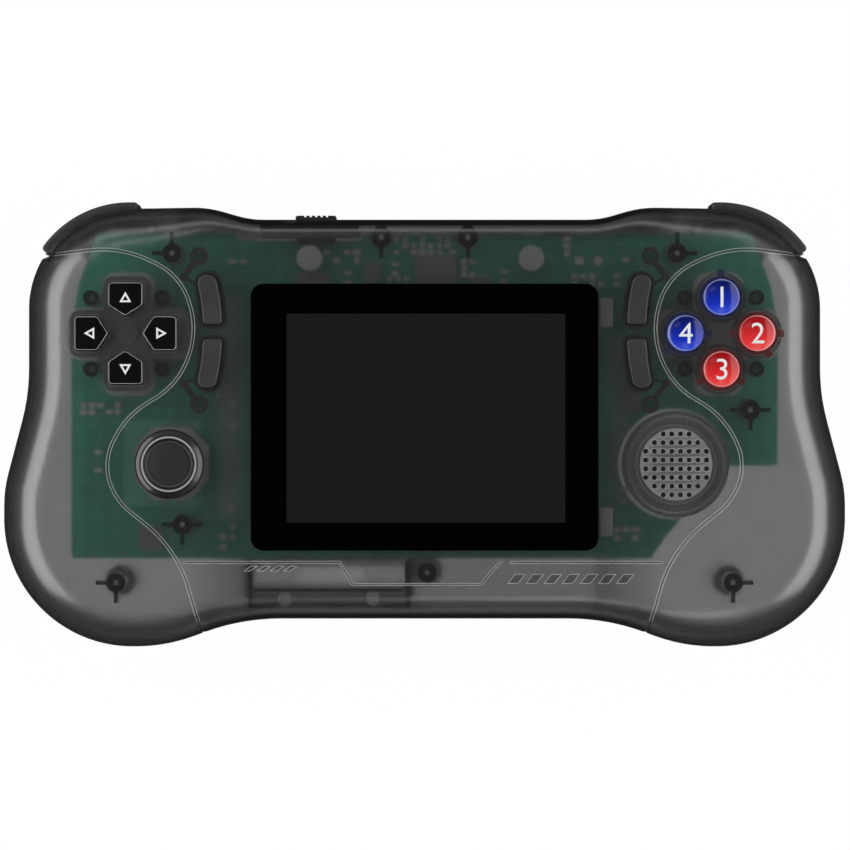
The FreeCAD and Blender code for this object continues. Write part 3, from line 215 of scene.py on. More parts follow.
def skinParts(tree, look):
    # the uneven colour, the roughness and the grain that every finish has
    aside = look.get("aside", [min(1, c * look["asideTimes"] + look["asidePlus"]) for c in look["color"]])
    grain = addNode(tree, "ShaderNodeGroup", {
        "Grain Scale": look["grain"], "Patch Scale": look["patch"], "Base Roughness": look["roughness"],
        "Roughness Spread": look["roughSpread"]}, node_tree=grainGroup).outputs
    tint = addNode(tree, "ShaderNodeGroup", {
        "Main": look["color"], "Aside": aside, "Scale": look["tintScale"], "Share": look["tintShare"]},
        node_tree=tintGroup)
    bump = addNode(tree, "ShaderNodeBump", {"Strength": look["bump"], "Distance": look["bumpDepth"],
                                            "Height": grain["Height"]})
    return tint.outputs["Color"], grain["Roughness"], bump.outputs["Normal"]


def addSkin(tree, look, color, roughness, normal):
    return addNode(tree, "ShaderNodeBsdfPrincipled", {
        "Base Color": color, "Roughness": roughness, "Normal": normal, "Metallic": look["metallic"],
        "IOR": look["ior"], "Coat Weight": look["coat"], "Coat Roughness": look["coatRoughness"],
        "Alpha": look["alpha"], "Transmission Weight": look["clear"]})


def solidFinish(name, settings, overlay=None):
    look = {**plainLook, **settings}
    material, tree = newMaterial(name)
    color, roughness, normal = skinParts(tree, look)
    if overlay:
        color, roughness = overlay(tree, look, color, roughness)
    if "flecks" in look:
        dust = look["flecks"]
        mask = addNode(tree, "ShaderNodeGroup", {"Scale": dust["scale"], "Size": dust["size"]},
                       node_tree=fleckGroup)
        color = layColor(tree, color, dust["color"],
                         calc(tree, "MULTIPLY", mask.outputs["Mask"], dust["share"]))
    finishMaterial(tree, addSkin(tree, look, color, roughness, normal))
    return material


def windowOverlay(tree, look, color, roughness):
    # the dark display seen through the clear part of a printed lens
    window = look["window"]
    dots = addNode(tree, "ShaderNodeTexBrick", {
        "Vector": objectPlace(tree), "Scale": window["dotScale"], "Mortar Size": window["gap"],
        "Color1": window["color"], "Color2": window["color"],
        "Mortar": [c * window["gapShade"] for c in window["color"]]}, offset=0.0)
    mask = boxMask(tree, window["x"], window["y"], window["halfX"], window["halfY"], window["soft"])
    return layColor(tree, color, dots.outputs["Color"], mask), roughness


def levelOverlay(tree, look, color, roughness):
    # another colour and roughness on the part that stays under the shell
    low = look["under"]
    mask = addNode(tree, "ShaderNodeGroup", {"Low": low["z"], "High": low["z"] + patterns["underRun"] * mm},
                   node_tree=levelMaskGroup)
    below = calc(tree, "SUBTRACT", 1.0, mask.outputs["Mask"])
    rough = addNode(tree, "ShaderNodeMix", {"Factor": below, "A": roughness, "B": low["roughness"]},
                    data_type="FLOAT")
    return layColor(tree, color, low["color"], below), rough.outputs["Result"]


def gemOverlay(tree, look, color, roughness):
    # painted shade towards the upper side of a clear cap, painted light low down and a painted highlight on
    # its rim
    y = objectSplit(tree)["Y"]
    middle, span = look["gemY"], look["gemSpan"]
    for layer, (start, end) in (("shaded", look["shadedSpan"]), ("lit", look["litSpan"])):
        ramp = smoothRamp(tree, y, middle + start * span, middle + end * span)
        color = layColor(tree, color, look[layer], ramp)
    rim = ringMask(tree, look["gemX"], look["gemY"], look["rimIn"], look["rimOut"], look["rimSoft"])
    color = layColor(tree, color, look["rim"], calc(tree, "MULTIPLY", rim, look["rimHighlightShare"]))
    return levelOverlay(tree, look, color, roughness)


def highlightRingOverlay(tree, look, color, roughness):
    # painted highlights: paler rings round the cap's dish and a faintly paler dish
    for *radii, soft, tint in look["highlightRings"]:
        color = layColor(tree, color, tint, ringMask(tree, look["stickX"], look["stickY"], *radii, soft))
    return color, roughness


def boardOverlay(tree, look, color, roughness):
    # copper pours, tracks, a few paler patches, and two dark strips that are painted shadow lines
    place = objectPlace(tree)
    pours = addNode(tree, "ShaderNodeTexVoronoi", {"Vector": place, "Scale": look["pourScale"]},
                    distance="CHEBYCHEV")
    chance = addNode(tree, "ShaderNodeSeparateColor", {"Color": pours.outputs["Color"]}).outputs["Red"]
    color = layColor(tree, color, look["pour"], calc(tree, "MULTIPLY", chance, look["pourShare"]))
    for turn in (0.0, math.pi / 2):
        turned = addNode(tree, "ShaderNodeMapping", {"Vector": place, "Rotation": (0, 0, turn)})
        tracks = addNode(tree, "ShaderNodeTexBrick", {
            "Vector": turned.outputs["Vector"], "Scale": look["trackScale"], "Color1": grey(0),
            "Color2": grey(0), "Mortar": grey(1), "Mortar Size": look["trackWidth"],
            "Brick Width": look["trackLong"], "Row Height": look["trackRow"]})
        line = addNode(tree, "ShaderNodeRGBToBW", {"Color": tracks.outputs["Color"]}).outputs["Val"]
        color = layColor(tree, color, look["track"], calc(tree, "MULTIPLY", line, look["trackShare"]))
    for *box, tint, share in look["patches"]:
        color = layColor(tree, color, tint, calc(tree, "MULTIPLY", boxMask(tree, *box), share))
    return color, roughness


def clearFinish(name, settings):
    # see-through plastic whose shadow lets the lamps reach the inside
    look = {**plainLook, **settings}
    material, tree = newMaterial(name)
    color, roughness, normal = skinParts(tree, look)
    # painted shade: the middle of the case and its upper and lower edges are darker
    for *box, tint in look["darker"]:
        color = layColor(tree, color, tint, boxMask(tree, *box), "MULTIPLY")
    # walls seen along their length are darker: painted shade for the dark rim, over the smoke's own darkening
    # along their longer path
    facing = addNode(tree, "ShaderNodeLayerWeight").outputs["Facing"]
    along = smoothRamp(tree, facing, look["edgeFrom"], look["edgeTo"])
    color = layColor(tree, color, look["edge"], along, "MULTIPLY")
    skin = addSkin(tree, look, color, roughness, normal)
    thin = addNode(tree, "ShaderNodeBsdfTransparent", {"Color": look["shadow"]})
    path = addNode(tree, "ShaderNodeLightPath")
    mix = addNode(tree, "ShaderNodeMixShader", {0: path.outputs["Is Shadow Ray"], 1: skin.outputs[0],
                                                2: thin.outputs[0]})
    smoke = addNode(tree, "ShaderNodeVolumeAbsorption", {"Color": look["smoke"],
                                                         "Density": look["smokeDensity"]})
    finishMaterial(tree, mix, smoke)
    return material


# finishes

# clear-capped buttons: a look for each colour, and each button's own colour and centre
gemLook = dict(roughness=0.20, roughSpread=0.04, bump=0.03, coat=0.35, coatRoughness=0.03, ior=1.25,
               gemSpan=0.0042, shadedSpan=(-0.7, 0.9), litSpan=(-0.25, -1.05), rimIn=0.00368, rimOut=0.0043,
               rimSoft=0.00012, rimHighlightShare=0.45)
# shaded, lit and rim are painted shade, painted light and a painted highlight; under is painted shade on the
# part that stays under the shell
gemColors = {
    "blue": dict(color=(0.010, 0.034, 0.56), aside=(0.014, 0.042, 0.62), shaded=(0.004, 0.009, 0.12),
                 lit=(0.05, 0.10, 0.76), rim=(0.55, 0.62, 0.95),
                 under=dict(z=0.0288, color=(0.03, 0.05, 0.42), roughness=0.5)),
    "red": dict(color=(0.88, 0.035, 0.038), aside=(0.92, 0.05, 0.05), shaded=(0.34, 0.006, 0.010),
                lit=(0.97, 0.10, 0.09), rim=(1.0, 0.62, 0.60),
                under=dict(z=0.0288, color=(0.62, 0.03, 0.03), roughness=0.5)),
}
gems = {"blueTop": ("blue", 0.0648, 0.02792), "blueLeft": ("blue", 0.0571, 0.02005),
        "redRight": ("red", 0.0725, 0.02005), "redBottom": ("red", 0.0648, 0.01218)}
smokeShell = dict(
    color=grey(0.99), aside=grey(0.86), tintScale=1700.0, tintShare=1.0, roughness=0.21, roughSpread=0.05,
    grain=2600.0, patch=60.0, bump=0.25, bumpDepth=0.00004, ior=1.585, clear=0.991, coat=1.0,
    # edge, edgeFrom and edgeTo give the painted shade on walls seen along their length
    coatRoughness=0.33, shadow=grey(1.0), smoke=grey(0.5), smokeDensity=740.0, edge=grey(0.09), edgeFrom=0.1,
    edgeTo=0.48,
    # painted shade patches, each as x, y, half width, half height, softness, colour
    darker=[(0.0, 0.0, 0.052, 0.2, 0.012, grey(0.86)),
            (0.0, 0.0475, 0.056, 0.0075, 0.003, (0.46, 0.48, 0.47)),
            (0.0, -0.043, 0.050, 0.0035, 0.003, grey(0.80))])
finishes = {
    "padRubber": dict(color=(0.74, 0.745, 0.74), roughness=0.7, bump=0.2, grain=3500.0),
    "padGloss": dict(color=grey(0.004), roughness=0.14, roughSpread=0.05, bump=0.03, coat=0.5,
                     flecks=dict(scale=700.0, size=0.07, color=grey(0.22), share=0.5),
                     under=dict(z=0.0276, color=(0.28, 0.285, 0.28), roughness=0.6)),
    "lensPrint": dict(color=grey(0.0004), aside=grey(0.0008), roughness=0.07, roughSpread=0.04, bump=0.0,
                      ior=1.45, patch=25.0,
                      window=dict(x=0.0003, y=0.0015, halfX=0.03048, halfY=0.02286, soft=0.0001,
                                  dotScale=900.0, gap=0.02, gapShade=0.8, color=grey(0.0135))),
    "keyPlastic": dict(color=(0.030, 0.031, 0.032), roughness=0.42, bump=0.4, grain=5000.0),
    "stickRubber": dict(color=(0.010, 0.010, 0.012), roughness=0.36, bump=0.2, grain=6000.0, coat=0.7,
                        coatRoughness=0.12, stickX=-0.0555, stickY=-0.0085,
                        # painted highlights, each as inner radius, outer radius, softness, colour
                        highlightRings=[(0.0, 0.0046, 0.0004, (0.024, 0.024, 0.027)),
                               (0.0048, 0.0050, 0.00012, (0.10, 0.10, 0.105)),
                               (0.00565, 0.0060, 0.00014, (0.42, 0.42, 0.43))]),
    "whiteInk": dict(color=grey(0.88), aside=grey(0.82), roughness=0.45, bump=0.05),
    "blackPlastic": dict(color=grey(0.010), roughness=0.5, bump=0.2, grain=4000.0),
    "chipEpoxy": dict(color=(0.32, 0.29, 0.275), roughness=0.55, bump=0.3, grain=5000.0),
    "palePlastic": dict(color=(0.88, 0.88, 0.82), aside=(0.66, 0.66, 0.60), tintScale=350.0, tintShare=1.0,
                        roughness=0.5),
    "frameGrey": dict(color=(0.42, 0.42, 0.40), roughness=0.5),
    "foam": dict(color=(0.78, 0.78, 0.76), roughness=0.85, bump=0.6, grain=3000.0, bumpDepth=0.0001),
    "darkFoam": dict(color=grey(0.62), roughness=0.9, bump=0.6, grain=3000.0, bumpDepth=0.0001),
    "coneFabric": dict(color=(0.16, 0.16, 0.157), roughness=0.8, bump=0.5),
    "grilleGrey": dict(color=(0.16, 0.16, 0.157), roughness=0.38, bump=0.3, grain=4500.0),
    "rimHighlightGrey": dict(color=(0.46, 0.46, 0.45), roughness=0.25, bump=0.1),
    "steel": dict(color=(0.58, 0.58, 0.57), aside=grey(0.42), roughness=0.5, metallic=0.4, bump=0.1),
    "tin": dict(color=(0.55, 0.54, 0.50), roughness=0.45, metallic=0.3, bump=0.2),
    "passive": dict(color=(0.84, 0.75, 0.70), aside=(0.95, 0.94, 0.91), tintScale=260.0, tintShare=1.0,
                    roughness=0.5, bump=0.2),
    "coilDisc": dict(color=(0.82, 0.86, 0.80), roughness=0.5, bump=0.2),
    "brass": dict(color=(0.75, 0.55, 0.22), roughness=0.3, metallic=1.0),
    "amberFilm": dict(color=(0.45, 0.2, 0.04), roughness=0.25, coat=0.5),
    "cellWrap": dict(color=(0.05, 0.07, 0.16), roughness=0.3, coat=0.4),
    "panelGlass": dict(color=(0.013, 0.013, 0.0134), aside=grey(0.0136), roughness=0.3, bump=0.0),
    "lampGlass": dict(color=(0.85, 0.85, 0.8), roughness=0.2, coat=1.0),
    "ringShade": dict(color=grey(0.06), roughness=0.6, bump=0.2, alpha=0.75),
    "coverShade": dict(color=grey(0.012), roughness=0.6, bump=0.2, alpha=0.7),
    "discShade": dict(color=grey(0.8), roughness=0.5, bump=0.2, alpha=0.45),
    "padGlint": dict(color=grey(0.75), roughness=0.3, bump=0.1, alpha=0.4),
    "seamShade": dict(color=(0.010, 0.011, 0.011), roughness=0.7, bump=0.1, alpha=0.45),
    "seamHighlight": dict(color=grey(0.62), roughness=0.4, bump=0.1, alpha=0.3),
    "trimShade": dict(color=grey(0.035), roughness=0.6, bump=0.2, alpha=0.4),
    "trimHighlight": dict(color=grey(0.6), roughness=0.4, bump=0.1, alpha=0.6),
    "markEdge": dict(color=grey(0.60), roughness=0.5, bump=0.1, alpha=0.28),
    "greenBoard": dict(color=(0.010, 0.36, 0.225), aside=(0.025, 0.46, 0.31), tintScale=45.0, tintShare=1.0,
                       roughness=0.35, bump=0.1, coat=0.3, pourScale=85.0, pour=(0.06, 0.60, 0.42),
                       pourShare=0.3, trackScale=55.0, trackWidth=0.035, trackLong=1.4, trackRow=0.22,
                       track=(0.18, 0.76, 0.56), trackShare=0.15,
                       # x, y, half width, half height, softness, colour, share
                       patches=[(-0.0578, -0.0085, 0.0090, 0.0097, 0.0006, (0.30, 0.86, 0.66), 0.6),
                                # the two thin dark strips are painted shadow lines
                                (-0.056, 0.0043, 0.0150, 0.0005, 0.0006, (0.006, 0.03, 0.02), 0.7),
                                (0.063, -0.012, 0.0150, 0.0005, 0.0006, (0.006, 0.03, 0.02), 0.4),
                                (-0.0430, 0.0040, 0.0040, 0.0260, 0.003, (0.72, 0.80, 0.74), 0.6),
                                (0.0430, 0.0010, 0.0035, 0.0200, 0.003, (0.72, 0.80, 0.74), 0.45)]),
}
overlays = dict(padGloss=levelOverlay, stickRubber=highlightRingOverlay, lensPrint=windowOverlay,
                greenBoard=boardOverlay)
looks = {"smokeShell": clearFinish("smokeShell", smokeShell)}
for name, (kind, gemX, gemY) in gems.items():
    looks[name] = solidFinish(name, {**gemLook, **gemColors[kind], "gemX": gemX, "gemY": gemY}, gemOverlay)
for name, settings in finishes.items():
    looks[name] = solidFinish(name, settings, overlays.get(name))
print("finishes made:", len(looks))

dressed = {
    "smokeShell": ["front_shell", "rear_shell", "battery_door"],
    "padRubber": ["pad_rubber", "button_rubber"],
    "padGloss": ["direction_pad"],
    "lensPrint": ["screen_lens"],
    "keyPlastic": ["menu_key_upper_left", "menu_key_lower_left", "menu_key_upper_right",
                   "menu_key_lower_right", "shoulder_button_left", "shoulder_button_right"],
    "stickRubber": ["thumbstick"],
    "blueTop": ["button_top"],
    "blueLeft": ["button_left"],
    "redRight": ["button_right"],
    "redBottom": ["button_bottom"],
    "blackPlastic": ["power_slider", "power_switch", "av_jack", "display_module", "shoulder_switches"],
    "chipEpoxy": ["board_chips", "key_switches"],
    "passive": ["board_small_parts"],
    "coilDisc": ["board_coils"],
    "palePlastic": ["stick_base"],
    "frameGrey": ["display_holder", "ribbon_connector"],
    "foam": ["holder_pads"],
    "darkFoam": ["speaker_gasket"],
    "coneFabric": ["speaker"],
    "steel": ["case_screws", "pad_pivot", "stick_yoke", "shoulder_pins", "charge_port"],
    "brass": ["battery_contacts"],
    "amberFilm": ["display_ribbon"],
    "cellWrap": ["battery"],
    "panelGlass": ["display_panel"],
    "lampGlass": ["status_lamps"],
    "greenBoard": ["main_board"],
}
for look, members in dressed.items():
    for member in members:
        nodes[member].data.materials.clear()
        nodes[member].data.materials.append(looks[look])
print("frame pieces dressed")


# helpers for the added pieces

mergeReach = 1e-7  # points closer than this become one
sameSpot = 1e-6  # recess corners closer than this count as one


def newMesh(name, points, faces):
    mesh = bpy.data.meshes.new(name)
    mesh.from_pydata([tuple(p) for p in points], [], faces)
    mesh.validate()
    mesh.update()
    return mesh


def outwardMesh(mesh):
    shape = bmesh.new()
    shape.from_mesh(mesh)
    bmesh.ops.remove_doubles(shape, verts=shape.verts, dist=mergeReach)
    bmesh.ops.recalc_face_normals(shape, faces=shape.faces)
    shape.to_mesh(mesh)
    shape.free()
    mesh.update()
    return mesh


def thickened(name, shape, thick):
    # a flat bmesh grown upwards into a closed plate
    grown = bmesh.ops.extrude_face_region(shape, geom=shape.faces[:])
    for item in grown["geom"]:
        if isinstance(item, bmesh.types.BMVert):
            item.co.z += thick * mm
    bmesh.ops.recalc_face_normals(shape, faces=shape.faces)
    mesh = bpy.data.meshes.new(name)
    shape.to_mesh(mesh)
    shape.free()
    return mesh


def joined(name, meshes):
    shape = bmesh.new()
    for mesh in meshes:
        shape.from_mesh(mesh)
        bpy.data.meshes.remove(mesh)
    whole = bpy.data.meshes.new(name)
    shape.to_mesh(whole)
    shape.free()
    return whole


def plainMesh(name, holder):
    # what an object shows, as a plain mesh; the object itself goes
    bpy.context.scene.collection.objects.link(holder)
    bpy.context.view_layer.update()
    mesh = bpy.data.meshes.new_from_object(holder.evaluated_get(bpy.context.evaluated_depsgraph_get()))
    holder.modifiers.clear()
    bpy.data.objects.remove(holder)
    mesh.name = name
    return mesh


def bakeNodes(name, mesh, tree, values):
    # a node tree's result as a plain mesh
    holder = bpy.data.objects.new(name + "Maker", mesh)
    modifier = holder.modifiers.new("maker", "NODES")
    modifier.node_group = tree
    for item in tree.interface.items_tree:
        if item.in_out == "INPUT" and item.name in values:
            modifier[item.identifier] = values[item.name]
    return plainMesh(name, holder)


def endTree(tree, instances, ins, outs):
    # a tree ends in plain geometry that has its finish
    solid = addNode(tree, "GeometryNodeRealizeInstances", {"Geometry": instances})
    paint = addNode(tree, "GeometryNodeSetMaterial", {"Geometry": solid.outputs["Geometry"],
                                                      "Material": ins["Finish"]})
    feed(tree, outs["Geometry"], paint.outputs["Geometry"])
    return tree


def addPiece(name, mesh, body, look):
    piece = bpy.data.objects.new(name, mesh)
    bpy.context.scene.collection.objects.link(piece)
    mesh.materials.clear()
    mesh.materials.append(looks[look])
    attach(piece, body)


def surfaceTree(node):
    mesh = nodes[node].data
    return BVHTree.FromPolygons([v.co.copy() for v in mesh.vertices],
                                [tuple(p.vertices) for p in mesh.polygons])


def dropTo(tree, x, y, fromZ=0.05, down=True):
    hit = tree.ray_cast(Vector((x, y, fromZ)), Vector((0, 0, -1 if down else 1)))
    return hit[0].z if hit[0] else None


frontTree = surfaceTree("front_shell")


def circle(x, y, radius, count):
    return [(x + radius * math.cos(2 * math.pi * k / count), y + radius * math.sin(2 * math.pi * k / count))
            for k in range(count)]


def roundedPath(bends, step):
    # straight runs between (x, y, radius) bends, as points about one step apart
    points = []
    for i in range(1, len(bends) - 1):
        here = Vector(bends[i][:2])
        before = (Vector(bends[i - 1][:2]) - here).normalized()
        after = (Vector(bends[i + 1][:2]) - here).normalized()
        half = before.angle(after) / 2
        reach = bends[i][2] / math.tan(half)
        middle = here + (before + after).normalized() * (bends[i][2] / math.sin(half))
        first = here + before * reach - middle
        last = here + after * reach - middle
        sweep = first.angle_signed(last)
        count = max(2, int(abs(sweep) * bends[i][2] / step))
        for k in range(count + 1):
            angle = -sweep * k / count
            points.append(middle + Vector((first.x * math.cos(angle) - first.y * math.sin(angle),
                                           first.x * math.sin(angle) + first.y * math.cos(angle))))
    whole = [Vector(bends[0][:2])] + points + [Vector(bends[-1][:2])]
    spaced = []
    for a, b in zip(whole, whole[1:]):
        parts = max(1, int((b - a).length / step))
        spaced += [a.lerp(b, k / parts) for k in range(parts)]
    return spaced + [whole[-1]]


def ribbonMesh(name, runs, halfWidth, thick):
    # flat strips with a thickness in mm, one along each run of (x, y, z, acrossX, acrossY)
    half, thick = halfWidth * mm, thick * mm
    points, faces = [], []
    for run in runs:
        base = len(points)
        for x, y, z, ax, ay in run:
            low, high = (x - ax * half, y - ay * half), (x + ax * half, y + ay * half)
            points += [(*low, z), (*high, z), (*high, z - thick), (*low, z - thick)]
        for i in range(len(run) - 1):
            a = base + 4 * i
            for k in range(4):
                m = (k + 1) % 4
                faces.append((a + k, a + m, a + 4 + m, a + 4 + k))
        faces.append((base, base + 1, base + 2, base + 3))
        end = base + 4 * (len(run) - 1)
        faces.append((end + 3, end + 2, end + 1, end))
    return outwardMesh(newMesh(name, points, faces))


def flatPlate(name, loops, thick):
    # a filled flat curve with holes, as a mesh of the given thickness about z = 0
    curve = bpy.data.curves.new(name + "Curve", "CURVE")
    curve.dimensions = "2D"
    curve.fill_mode = "BOTH"
    curve.extrude = thick / 2 * mm
    for loop in loops:
        spline = curve.splines.new("POLY")
        spline.points.add(len(loop) - 1)
        for point, (x, y) in zip(spline.points, loop):
            point.co = (x * mm, y * mm, 0, 1)
        spline.use_cyclic_u = True
    mesh = plainMesh(name, bpy.data.objects.new(name + "Curve", curve))
    bpy.data.curves.remove(curve)
    return mesh


# the groove round the two wings: a painted shadow line with a painted highlight line on either side
wingSeam = dict(
    bends=[(-139.5, 31.65, 0), (-66.2, 38.9, 24), (-53.3, 32.7, 13.5), (-49.2, 19.9, 18), (-54.4, 8.6, 16.5),
           (-65.6, 1.7, 19), (-70.7, -9.4, 12), (-66.4, -17.3, 13.5), (-54.0, -27.2, 28), (-45.2, -58, 0)],
    step=0.5, shadeHalf=0.12, highlightHalf=0.08, highlightShift=0.3, lift=0.03, thick=0.02, jump=0.5, lowest=18.5,
    fewest=4)


def seamRuns(mirror, shift):
    # breaks where the shell falls away
    p = wingSeam
    path = roundedPath(p["bends"], p["step"])
    runs, run = [], []
    for here, ahead in zip(path, path[1:]):
        along = (ahead - here).normalized()
        across = Vector((-along.y, along.x))
        spot = here + across * shift
        x, y = mirror * spot.x * mm, spot.y * mm
        z = dropTo(frontTree, x, y)
        if z is not None and z > p["lowest"] * mm and not (run and abs(z - run[-1][2]) > p["jump"] * mm):
            run.append((x, y, z + p["lift"] * mm, mirror * across.x, across.y))
        else:
            runs.append(run)
            run = []
    return [run for run in runs + [run] if len(run) >= p["fewest"]]


for mirror, place in ((1, "Left"), (-1, "Right")):
    for kind, half, shifts, slotName in (
            ("seamShade", wingSeam["shadeHalf"], (0.0,), "black_trim"),
            ("seamHighlight", wingSeam["highlightHalf"], (wingSeam["highlightShift"], -wingSeam["highlightShift"]),
             "clear_shell")):
        runs = [run for shift in shifts for run in seamRuns(mirror, shift)]
        addPiece(kind + place, ribbonMesh(kind + place, runs, half, wingSeam["thick"]), "housing", kind)
print("wing seams laid")


# shallow trim of the lower strip: painted shade as a thin dark film in each recess and a painted highlight
# line round it
trimShadeFilm = dict(level=29.7, belowY=-20.0, lift=0.006, thick=0.04, edge=0.13, edgeLift=0.05, edgeThick=0.02,
                flatNormal=0.99, near=0.01)


def recessFaces():
    mesh = nodes["front_shell"].data
    p = trimShadeFilm
    return [[mesh.vertices[v].co.copy() for v in face.vertices] for face in mesh.polygons
            if face.normal.z > p["flatNormal"] and abs(face.center.z - p["level"] * mm) < p["near"] * mm
            and face.center.y < p["belowY"] * mm]


def filmMesh(name, faces, lift, thick):
    shape = bmesh.new()
    made = {}
    for face in faces:
        ring = []
        for co in face:
            key = tuple(round(v / sameSpot) for v in co)
            if key not in made:
                made[key] = shape.verts.new((co[0], co[1], co[2] + lift * mm))
            ring.append(made[key])
        if len(set(ring)) == len(face) and not shape.faces.get(ring):
            shape.faces.new(ring)
    return thickened(name, shape, thick)


def recessEdges(faces):
    # the outline of the recess floors, as runs for narrow ribbons
    count = {}
    for face in faces:
        keys = [(round(co.x / sameSpot), round(co.y / sameSpot)) for co in face]
        for a, b in zip(keys, keys[1:] + keys[:1]):
            edge = (min(a, b), max(a, b))
            count[edge] = count.get(edge, 0) + 1
    runs = []
    z = (trimShadeFilm["level"] + trimShadeFilm["edgeLift"]) * mm
    for (a, b), uses in count.items():
        start, end = Vector(a) * sameSpot, Vector(b) * sameSpot
        if uses == 1 and (end - start).length >= sameSpot:
            along = (end - start).normalized()
            runs.append([(spot.x, spot.y, z, -along.y, along.x) for spot in (start, end)])
    return runs


floors = recessFaces()
addPiece("trimShadeFilm", filmMesh("trimShadeFilm", floors, trimShadeFilm["lift"], trimShadeFilm["thick"]), "housing",
         "trimShade")
addPiece("trimHighlightLine", ribbonMesh("trimHighlightLine", recessEdges(floors), trimShadeFilm["edge"] / 2,
                                   trimShadeFilm["edgeThick"]), "housing", "trimHighlight")
print("trim lined, floor faces:", len(floors))


# the direction pad's four heads, which slope outwards
padHeads = dict(centerX=-65.2, centerY=20.0, topZ=31.6, slopeFrom=3.5, slope=math.radians(4.0))


def headPoint(quarter, x, out, lift):
    # a point of one head in mm: across it, out from the pad's middle, and above its face
    p = padHeads
    turn = quarter * math.pi / 2
    px = x * math.cos(turn) - out * math.sin(turn)
    py = x * math.sin(turn) + out * math.cos(turn)
    z = p["topZ"] - (out - p["slopeFrom"]) * math.tan(p["slope"]) + lift
    return ((p["centerX"] + px) * mm, (p["centerY"] + py) * mm, z * mm)


# outlined arrows on the heads
padArrows = dict(distance=7.9, height=2.3, base=2.6, line=0.42, above=0.035, below=0.05)


def arrowMesh():
    p = padArrows
    half, low, high = p["base"] / 2, -p["height"] / 2, p["height"] / 2
    outer = [(-half, low), (half, low), (0, high)]
    middle = -p["height"] / 6
    inset = 1 - p["line"] / (p["height"] / 3)
    inner = [(x * inset, middle + (y - middle) * inset) for x, y in outer]
    points, faces = [], []
    for quarter in range(4):
        base = len(points)
        points += [headPoint(quarter, x, y + p["distance"], lift) for lift in (p["above"], -p["below"])
                   for x, y in outer + inner]
        for k in range(3):
            m = (k + 1) % 3
            faces.append((base + k, base + m, base + 3 + m, base + 3 + k))
            faces.append((base + 6 + k, base + 9 + k, base + 9 + m, base + 6 + m))
            faces.append((base + k, base + 6 + k, base + 6 + m, base + m))
            faces.append((base + 3 + k, base + 3 + m, base + 9 + m, base + 9 + k))
    return outwardMesh(newMesh("padArrows", points, faces))


addPiece("padArrows", arrowMesh(), "direction_pad", "whiteInk")
print("pad arrows made")


# plain numbers on the domed buttons
numbers = dict(faceX=64.8, faceY=20.05, offset=7.87, size=6.5, topZ=31.5, ball=9.03, above=0.03, thick=0.07,
               cuts=3, fineness=6,
               places={"numberTop": ("1", 0, 1, "button_top"), "numberRight": ("2", 1, 0, "button_right"),
                       "numberBottom": ("3", 0, -1, "button_bottom"),
                       "numberLeft": ("4", -1, 0, "button_left")})


def numberMesh(name, digit, stepX, stepY):
    p = numbers
    text = bpy.data.curves.new(name + "Text", "FONT")
    text.body = digit
    text.size = p["size"] * mm
    text.resolution_u = p["fineness"]
    flat = plainMesh(name + "Flat", bpy.data.objects.new(name + "Text", text))
    bpy.data.curves.remove(text)
    shape = bmesh.new()
    shape.from_mesh(flat)
    bpy.data.meshes.remove(flat)
    bmesh.ops.remove_doubles(shape, verts=shape.verts, dist=mergeReach)
    bmesh.ops.triangulate(shape, faces=shape.faces)
    bmesh.ops.subdivide_edges(shape, edges=shape.edges, cuts=p["cuts"], use_grid_fill=True)
    xs = [v.co.x for v in shape.verts]
    ys = [v.co.y for v in shape.verts]
    middleX, middleY = (min(xs) + max(xs)) / 2, (min(ys) + max(ys)) / 2
    ball = p["ball"] * mm
    for v in shape.verts:
        x, y = v.co.x - middleX, v.co.y - middleY
        drop = ball - math.sqrt(ball * ball - x * x - y * y)
        v.co = ((p["faceX"] + stepX * p["offset"]) * mm + x, (p["faceY"] + stepY * p["offset"]) * mm + y,
                (p["topZ"] + p["above"] - p["thick"]) * mm - drop)
    return thickened(name, shape, p["thick"])


for name, (digit, stepX, stepY, body) in numbers["places"].items():
    addPiece(name, numberMesh(name, digit, stepX, stepY), body, "whiteInk")
print("numbers made")


# drilled plate over the speaker, with a rim round each hole in a paler grey that is a painted highlight, and
# a painted shade ring round the dome
grille = dict(centerX=54.9, centerY=-8.6, radius=7.92, hole=0.6, holeGap=0.01, border=0.03, pitch=1.9,
              rows=(4, 6, 8, 8, 8, 8, 6, 4), topZ=30.35, ball=84.87, thick=0.12, above=0.06, rimWidth=0.11,
              rimHeight=0.12, ringInner=8.0, ringOuter=8.9, ringZ=29.53, ringThick=0.05, plateCount=72,
              holeCount=16, rimCount=12, rimSides=4)


def grilleSpots():
    rows = grille["rows"]
    return [((i - (count - 1) / 2) * grille["pitch"], (row - (len(rows) - 1) / 2) * grille["pitch"])
            for row, count in enumerate(rows) for i in range(count)]


def domeDrop(x, y):
    return grille["ball"] - math.sqrt(grille["ball"] ** 2 - x * x - y * y)


def grillePlateMesh():
    p = grille
    loops = [circle(0, 0, p["radius"], p["plateCount"])]
    loops += [circle(x, y, p["hole"] - p["holeGap"], p["holeCount"]) for x, y in grilleSpots()
              if math.hypot(x, y) + p["hole"] < p["radius"] - p["border"]]
    mesh = flatPlate("grillePlate", loops, p["thick"])
    for v in mesh.vertices:
        x, y = v.co.x / mm, v.co.y / mm
        v.co = ((p["centerX"] + x) * mm, (p["centerY"] + y) * mm,
                v.co.z + (p["topZ"] + p["above"] - p["thick"] / 2 - domeDrop(x, y)) * mm)
    return outwardMesh(mesh)


